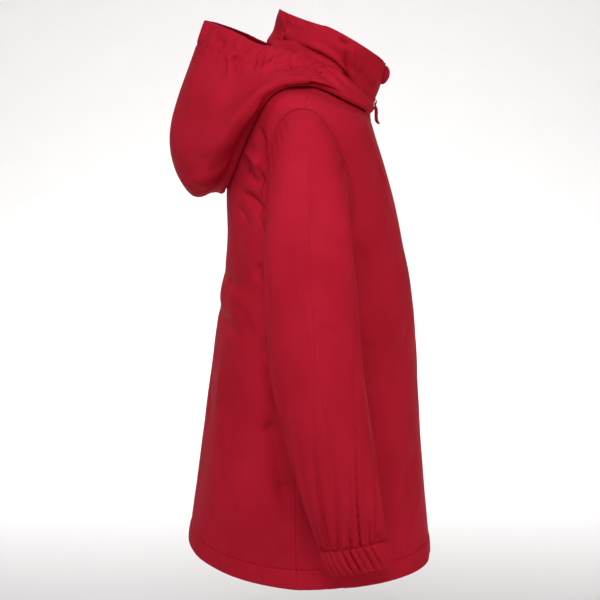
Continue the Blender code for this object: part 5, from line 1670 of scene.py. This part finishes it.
    def build_half(self, side: Side, stations: Array, rows: Array, plain: Array, normals: Array,
                   along: Array) -> None:
        """Make one half of the hood and the stitches of its casing."""
        rise = self.rise_mm(side, stations, rows, along)
        outer = plain + normals * (rise * MM)[..., None]
        thickness = self.wall + self.casing_wall * smooth_step((self.casing_mm - along) / 1.6)
        outer[:, -1, 0] = 0.0
        normals = normals.copy()
        normals[:, -1, 0] = 0.0
        self.pinch(outer, normals, thickness, (0,))
        mesh = Mesh()
        wall(mesh, mirrored(outer, side), mirrored(normals, side), thickness, step=2)
        self.finished(mesh, "hood", self.cut, ("collar", "back", f"front_{side.word}"), side)
        line, out = [], []
        for column in range(4, len(stations)):
            row = int(np.argmin(np.abs(along[:, column] - self.casing_mm)))
            here, above = along[row, column], along[row + 1, column]
            share = (self.casing_mm - here) / (above - here)
            line.append(outer[row, column] + (outer[row + 1, column] - outer[row, column]) * share)
            out.append(normals[row, column])
        Stitches(self.finishes).sew(f"brim_stitches_{side.word}", mirrored(line, side),
                                    mirrored(out, side))


# ---- Zip and chin guard ----------------------------------------------------

@dataclass(frozen=True)
class ZipPath:
    """The zip's run from the hem over the neck seam to the collar's top."""

    body: BodyForm
    collar: CollarForm
    cloth: float = 0.0015
    collar_wall: float = 0.0022
    seam_gap: float = 0.0003
    neck_blend: float = 0.14
    deepens: tuple[float, float] = (6.70, 6.92)
    foot: float = 0.035
    slider_foot: float = 7.070
    slider_head: float = 7.290
    head: float = 7.950
    parted: float = 0.0016

    def points(self, across: Array, place: Array, depth: Array) -> Array:
        """Points across from the centre plane, at a place up the zip, below the cloth's face."""
        across, place, depth = arrays(across, place, depth)
        neck = self.body.neck
        level, height = np.minimum(place, neck), np.maximum(place - neck, 0.0)
        body_width = self.body.sizes(level)[..., HALF_WIDTH]
        collar_width = self.collar.sizes(height)[..., HALF_WIDTH]
        angle = np.arcsin(-across / np.where(place <= neck, body_width, collar_width))
        on_collar = (place > neck)[..., None]
        points = np.where(on_collar, self.collar.soft(angle, height), self.body.soft(angle, level))
        share = np.clip((place - neck) / self.neck_blend + 0.5, 0.0, 1.0)[..., None]
        normals = unit(surface_normals(self.body.plain, angle, level) * (1.0 - share)
                       + surface_normals(self.collar.plain, angle, height) * share)
        return points - normals * depth[..., None]

    def tape_depth(self, place: Array) -> Array:
        """Depth of the tape's face below the cloth's."""
        return np.interp(place, self.deepens, (self.cloth + self.seam_gap,
                                               self.collar_wall + 2.0 * self.seam_gap))

    def spread(self, place: Array) -> Array:
        """How far an open row of teeth leans away from the centre plane above the slider."""
        return np.interp(place, (self.slider_head, self.head), (0.0, self.parted))

    def axes(self, place: float) -> tuple[Array, Array, Array]:
        """A point of the centre line, and its outward and upward unit directions."""
        point = self.points(0.0, place, 0.0)
        outward = self.points(0.0, place, -1.0) - point
        upward = np.cross(outward, TO_LEFT)
        return point, outward, upward * math.copysign(1.0, upward[2])

    def even_places(self, foot: float, head: float, pitch: float) -> Array:
        """Places along the zip an even distance apart."""
        places = np.linspace(foot, head, 1200)
        along = run_lengths(self.points(0.0, places, 0.0))
        count = int(along[-1] / pitch)
        return np.interp(np.linspace(0.0, along[-1], count + 1), along, places)


@dataclass
class Zip:
    """The coil zip: tapes, coil elements, slider and puller."""

    finishes: Finishes
    path: ZipPath
    pitch: float = 0.0015           # a coil of gauge 5 has an element every 1.5 mm
    half_width: float = 0.0031
    core_half_width: float = 0.0042 # the cord's edges lie over the tapes
    element: float = 0.00048        # half the monofilament's thickness
    face: float = 0.0006
    hinge: tuple[float, float, float] = (0.0, -0.0705993, -0.0355139)
    hinge_rise: float = 0.0016
    slider_half_width: float = 0.0042
    slider_half_length: float = 0.0055
    slider_web: float = 0.0027
    slider_rise: float = 0.0006
    bail_rise: float = 0.0034
    bail_half_width: float = 0.0008
    bail_bar: float = 0.0008
    bail_window: float = 0.0036
    # Distance below the hinge, how far forward, half width and half thickness of the tongue.
    tongue: tuple = (
        (0.0034, 0.0005, 0.0021, 0.0009),
        (0.0052, 0.0008, 0.0029, 0.0014),
        (0.0070, 0.0011, 0.0026, 0.0017),
        (0.0110, 0.0013, 0.0025, 0.0018),
        (0.0145, 0.0012, 0.0026, 0.0017),
        (0.0185, 0.0017, 0.0028, 0.0018),
        (0.0210, 0.0031, 0.0028, 0.0017),
        (0.0220, 0.0040, 0.0024, 0.0013),
        (0.0222, 0.0044, 0.0014, 0.0007),
    )
    eye_half_width: float = 0.0021
    eye_end: float = 0.0053
    eye_bar: tuple[float, float] = (0.00080, 0.00066)
    row_end: float = 0.004          # levels between the slider and the first element
    # Share of a plate's thickness, and how far its outline reaches there: its edge is rounded.
    plate_edge: tuple = ((0.0, 0.80), (0.12, 0.93), (0.35, 1.0), (0.65, 1.0), (0.88, 0.95),
                         (1.0, 0.84))
    # The bail's upper half: shares of its half length and of its rise.
    bail_arch: tuple = ((0.0, 1.0), (0.45, 1.0), (0.8, 0.9), (1.0, 0.7), (1.0, 0.4),
                        (1.0, 0.0001))

    def build(self) -> None:
        """Make the zip's pieces."""
        for side in Side:
            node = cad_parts[f"zip_tape_{side.word}"]
            for slot in node.material_slots:
                slot.material = self.finishes.tape
        self.build_coil()
        self.build_slider()
        self.build_puller()

    def coil_row(self, mesh: Mesh, places: Array, side: Side, lean: Array | float) -> None:
        """Add one row of coil elements, each a bar bent round the tape's cord; open rows lean."""
        inner_end, outer_end = 0.00025 + lean, self.half_width + lean
        depth = self.face + self.element

        def at(share: float, sink: float) -> Array:
            """Points a share of the way across the elements, sunk below their crown."""
            across = -(inner_end + (outer_end - inner_end) * share) * side.value
            return self.path.points(across, places, depth + sink)

        out = unit(self.path.points(0.0, places, 0.0) - self.path.points(0.0, places, 0.001))
        for start, end, first, second in ((0.0, 0.55, 0.0003, 0.0), (0.45, 1.0, 0.0, 0.0006)):
            capsules(mesh, at(start, first), at(end, second), out, self.element)

    def build_coil(self) -> None:
        """Make the closed chain, its cord, and the two open rows above the slider."""
        path = self.path
        coil = (self.finishes.coil,)
        closed = path.even_places(path.foot, path.slider_foot - self.row_end, self.pitch)
        shift = 0.5 * (closed[1] - closed[0])
        mesh = Mesh()
        self.coil_row(mesh, closed, Side.RIGHT, 0.0)
        self.coil_row(mesh, closed[:-1] + shift, Side.LEFT, 0.0)
        self.add_core(mesh, closed, (-self.core_half_width, self.core_half_width))
        dress(mesh, "zip_coil_closed", coil, "zip_chain")
        places = path.even_places(path.slider_head + self.row_end, path.head, self.pitch)
        lean = path.spread(places)
        for side in Side:
            mesh = Mesh()
            self.coil_row(mesh, places, side, lean)
            self.add_core(mesh, places, (-(self.half_width + lean) * side.value,
                                         -(0.0004 + lean) * side.value))
            dress(mesh, f"zip_coil_open_{side.word}", coil, f"zip_teeth_{side.word}")

    def add_core(self, mesh: Mesh, places: Array, ends: tuple) -> None:
        """Add the ground under the elements: the tape's edge with the cord in the coil."""
        top, bottom = self.face + 0.0007, self.path.tape_depth(places) + 0.0004
        rings = []
        for number, place in enumerate(places):
            left, right = (end if np.isscalar(end) else end[number] for end in ends)
            across = np.array((left, 0.5 * (left + right), right, right, left))
            depth = np.array((top + 0.0004, top, top + 0.0004, bottom[number], bottom[number]))
            rings.append(self.path.points(across, place, depth))
        loft(mesh, rings)

    def build_slider(self) -> None:
        """Make the slider: a rounded front plate, the web, the rear plate and the bail."""
        path = self.path
        point, outward, upward = path.axes(0.5 * (path.slider_foot + path.slider_head))
        tape = float(path.tape_depth(path.slider_head))
        mesh = Mesh()
        turn = full_turn(28)
        across, along = squared(np.cos(turn), 0.62), squared(np.sin(turn), 0.62)
        shoulder = self.slider_half_width * (0.84 + 0.16 * smooth_step(0.5 + along))
        plates = ((-self.slider_rise, tape - 0.00045, 1.0), (tape + 0.0013, tape + 0.0024, 0.9))
        for front, back, size in plates:
            loft(mesh, [point + (across * shoulder * size * draw)[:, None] * TO_LEFT
                        + (along * self.slider_half_length * size * draw)[:, None] * upward
                        - outward * (front + (back - front) * share)
                        for share, draw in self.plate_edge])
        loft(mesh, [np.array([point + TO_LEFT * x + upward * y - outward * depth
                              for x, y in ((-self.slider_web, -0.004), (self.slider_web, -0.004),
                                           (self.slider_web, 0.0045), (-self.slider_web, 0.0045))])
                    for depth in (tape - 0.001, tape + 0.0015)])
        middle = np.array(self.hinge) - outward * self.hinge_rise
        half = 0.5 * self.bail_window + 0.5 * self.bail_bar
        crown = self.bail_rise - 0.5 * self.bail_bar
        upper = [(share * half, rise) for share, rise in self.bail_arch]
        lower = [(-y, rise) for y, rise in upper[:0:-1]]
        line = np.array([middle + upward * y + outward * crown * rise
                         for y, rise in (*lower, *upper)])
        line = smooth_table(line, np.linspace(0.0, len(line) - 1.0, 41))
        tube(mesh, line, (self.bail_half_width, 0.65 * self.bail_bar), TO_LEFT, sides=14)
        dress(mesh, "zip_slider_cast", (self.finishes.lacquer,), "zip_slider")

    def build_puller(self) -> None:
        """Make the puller: a moulded eye that lies in the bail, and its tongue."""
        hinge = np.array(self.hinge)
        mesh = Mesh()
        turn = full_turn(48)
        across = squared(np.cos(turn), 0.6) * self.eye_half_width
        down = 0.5 * self.eye_end * (1.0 - squared(np.sin(turn), 0.6))
        forward = 0.0006 * (down / self.eye_end)**1.5
        loop = hinge + np.stack((across, -forward, -down), axis=-1)
        tube(mesh, loop, self.eye_bar, np.array((0.0, 1.0, 0.0)), closed=True, sides=12)
        table = smooth_table(self.tongue, np.linspace(0.0, len(self.tongue) - 1.0, 36))
        ring = full_turn(28)
        wide, thick = squared(np.cos(ring), 0.6), squared(np.sin(ring), 0.7)
        loft(mesh, [hinge + np.stack((wide * half_width, thick * half_thickness - forward,
                                      np.full(len(ring), -down)), axis=-1)
                    for down, forward, half_width, half_thickness in table])
        dress(mesh, "zip_puller_moulded", (self.finishes.rubber,), "zip_puller",
              ZIP_PULL)


@dataclass
class ChinGuard:
    """The folded tab that covers the top of the zip's right row of teeth."""

    finishes: Finishes
    path: ZipPath
    foot: float = 7.570
    head: float = 7.960
    reach: float = 0.0064
    roundness: float = 0.985
    sections: int = 40
    # Distance across the zip, and share of the reach; the first and last lie on the collar.
    outline: tuple = ((-0.0060, -0.02), (-0.0059, 0.30), (-0.0056, 0.62), (-0.0049, 0.90),
                      (-0.0039, 1.0), (-0.0028, 1.0), (-0.0018, 0.90), (-0.0011, 0.68),
                      (-0.0007, 0.34), (-0.0006, -0.02))
    cut: Cut = Cut((0.015, 0.020), 0.00023, Held.FOLDED, doubled=True)

    def build(self) -> None:
        """Make the tab, a half round of doubled cloth turned over the zip's end."""
        places = np.linspace(self.foot, self.head, self.sections)
        bulge = np.sqrt(1.0 - np.linspace(-self.roundness, self.roundness, self.sections)**2)
        outline = smooth_table(self.outline, np.linspace(0.0, len(self.outline) - 1.0, 34))
        rings = []
        for place, swell in zip(places, bulge):
            ripple = 1.0 + 0.05 * math.sin(9.0 * place) * swell
            depth = -self.reach * swell * outline[:, 1] * ripple + 0.0001
            across = outline[:, 0] * (0.94 + 0.06 * swell)
            rings.append(self.path.points(across, place, depth))
        mesh = Mesh()
        loft(mesh, rings)
        made = dress(mesh, "chin_guard_tab", (self.finishes.trim,), "chin_guard")


# ---- Studio ----------------------------------------------------------------

class LightKind(Enum):
    """Kinds of lamp; the value is Blender's name of it."""

    SUN = "SUN"
    SOFTBOX = "AREA"


@dataclass(frozen=True)
class StudioLight:
    """A lamp aimed at the jacket: a softbox has a size in metres, a sun one in degrees."""

    name: str
    kind: LightKind
    place: tuple[float, float, float]
    aim: tuple[float, float, float]
    size: float
    power: float
    colour: str = "#FFFFFF"

    def build(self) -> None:
        """Hang the light."""
        data = bpy.data.lights.new(self.name, self.kind.value)
        if self.kind is LightKind.SUN:
            data.angle = math.radians(self.size)
        else:
            data.shape = "SQUARE"
            data.size = self.size
        data.energy = self.power
        data.color = linear(self.colour)[:3]
        made = bpy.data.objects.new(self.name, data)
        bpy.context.scene.collection.objects.link(made)
        aim_at(made, self.place, self.aim)


def aim_at(thing: bpy.types.Object, place: Sequence[float], aim: Sequence[float]) -> None:
    """Put a light or camera at a place and turn its -Z toward a point, with +Y up."""
    back = unit(np.array(place, float) - np.array(aim, float))
    right = unit(np.cross((0.0, 1e-6, 1.0), back))
    up = np.cross(back, right)
    matrix = np.eye(4)
    matrix[:3, :3] = np.stack((right, up, back), axis=-1)
    matrix[:3, 3] = place
    thing.matrix_world = Matrix(matrix.tolist())


@dataclass
class Studio:
    """Seamless pale floor, soft lights and the camera."""

    floor_height: float = -0.760
    floor_colour: str = "#F4F4F4"
    world_strength: float = 0.06
    # Side section of the sweep: from the camera's side to where it curves up, and its top.
    sweep_near: float = -3.2
    sweep_bend: float = 3.2
    sweep_radius: float = 2.4
    sweep_top: float = 5.5
    sweep_half_width: float = 7.0
    camera_place: tuple[float, float, float] = (-2.0, 0.007, 0.060)
    camera_aim: tuple[float, float, float] = (0.0, 0.007, -0.242)
    view_angle: float = math.radians(17.70)
    lights: tuple[StudioLight, ...] = (
        StudioLight("high_rear_light", LightKind.SUN, (-2.0, 3.0, 3.6), (0.0, 0.0, 0.0), 25.0,
                    0.40, "#FFF4EE"),
        StudioLight("low_front_light", LightKind.SUN, (-1.0, -3.0, 0.6), (0.0, 0.0, 0.0), 28.0,
                    0.90, "#FFF4EE"),
        StudioLight("near_softbox", LightKind.SOFTBOX, (-1.1, 0.1, 0.55), (0.0, 0.0, -0.1),
                    0.5, 8.6, "#FAF4FF"),
        StudioLight("near_rear_softbox", LightKind.SOFTBOX, (-0.7, 0.9, 0.8), (0.0, 0.0, -0.1),
                    0.6, 2.6, "#FAF4FF"),
        StudioLight("backdrop_softbox", LightKind.SOFTBOX, (1.2, 0.0, 2.0), (5.6, 0.0, 1.0), 3.0,
                    90.0),
        StudioLight("floor_softbox", LightKind.SOFTBOX, (2.3, 0.0, 1.2), (2.3, 0.0, -0.8), 2.2,
                    44.0),
    )

    def build(self) -> None:
        """Make floor, world, lights and camera."""
        scene = bpy.context.scene
        scene.view_settings.view_transform = "Standard"
        self.build_floor()
        world = bpy.data.worlds.new("studio_air")
        world.use_nodes = True
        background = world.node_tree.nodes["Background"]
        background.inputs["Color"].default_value = linear("#FFFFFF")
        background.inputs["Strength"].default_value = self.world_strength
        scene.world = world
        for light in self.lights:
            light.build()
        data = bpy.data.cameras.new("studio_camera")
        data.angle = self.view_angle
        data.clip_end = 60.0
        camera = bpy.data.objects.new("studio_camera", data)
        scene.collection.objects.link(camera)
        aim_at(camera, self.camera_place, self.camera_aim)
        scene.camera = camera

    def build_floor(self) -> None:
        """Make the floor, a sheet of paper that curves up behind the jacket."""
        turn = np.linspace(0.0, QUARTER, 24)
        bend_x = self.sweep_bend + self.sweep_radius * np.sin(turn)
        bend_z = self.floor_height + self.sweep_radius * (1.0 - np.cos(turn))
        section = np.concatenate(([(self.sweep_near, self.floor_height)],
                                  np.stack((bend_x, bend_z), axis=-1),
                                  [(bend_x[-1], self.sweep_top)]))
        ends = [np.insert(section, 1, y, axis=1)
                for y in (-self.sweep_half_width, self.sweep_half_width)]
        mesh = Mesh()
        mesh.add(np.stack(ends, axis=1), quads(len(section), 2, False)[:, ::-1])
        # Heavy uncoated paper: matt, with only a breath of unevenness.
        paper = SmoothFinish("matt_backdrop_paper", self.floor_colour, "#F0F0F0", 0.9,
                             grain_mm=120.0).material()
        mesh.build("studio_sweep", (paper,))


# ---- Main ------------------------------------------------------------------

def main() -> None:
    """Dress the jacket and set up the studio."""
    logging.basicConfig(level=logging.INFO, format="%(name)s: %(message)s")
    finishes = Finishes()
    form = BodyForm()
    grid = BodyGrid(form)
    collar = CollarForm(form)
    path = ZipPath(form, collar)
    BodyPanels(finishes, grid=grid).build()
    BodyStitching(finishes, grid).build()
    Sleeves(finishes, grid=grid).build()
    Collar(finishes, form=collar).build()
    Hood(finishes, body=form).build()
    Zip(finishes, path).build()
    ChinGuard(finishes, path).build()
    Studio().build()


if __name__ == "__main__":
    main()
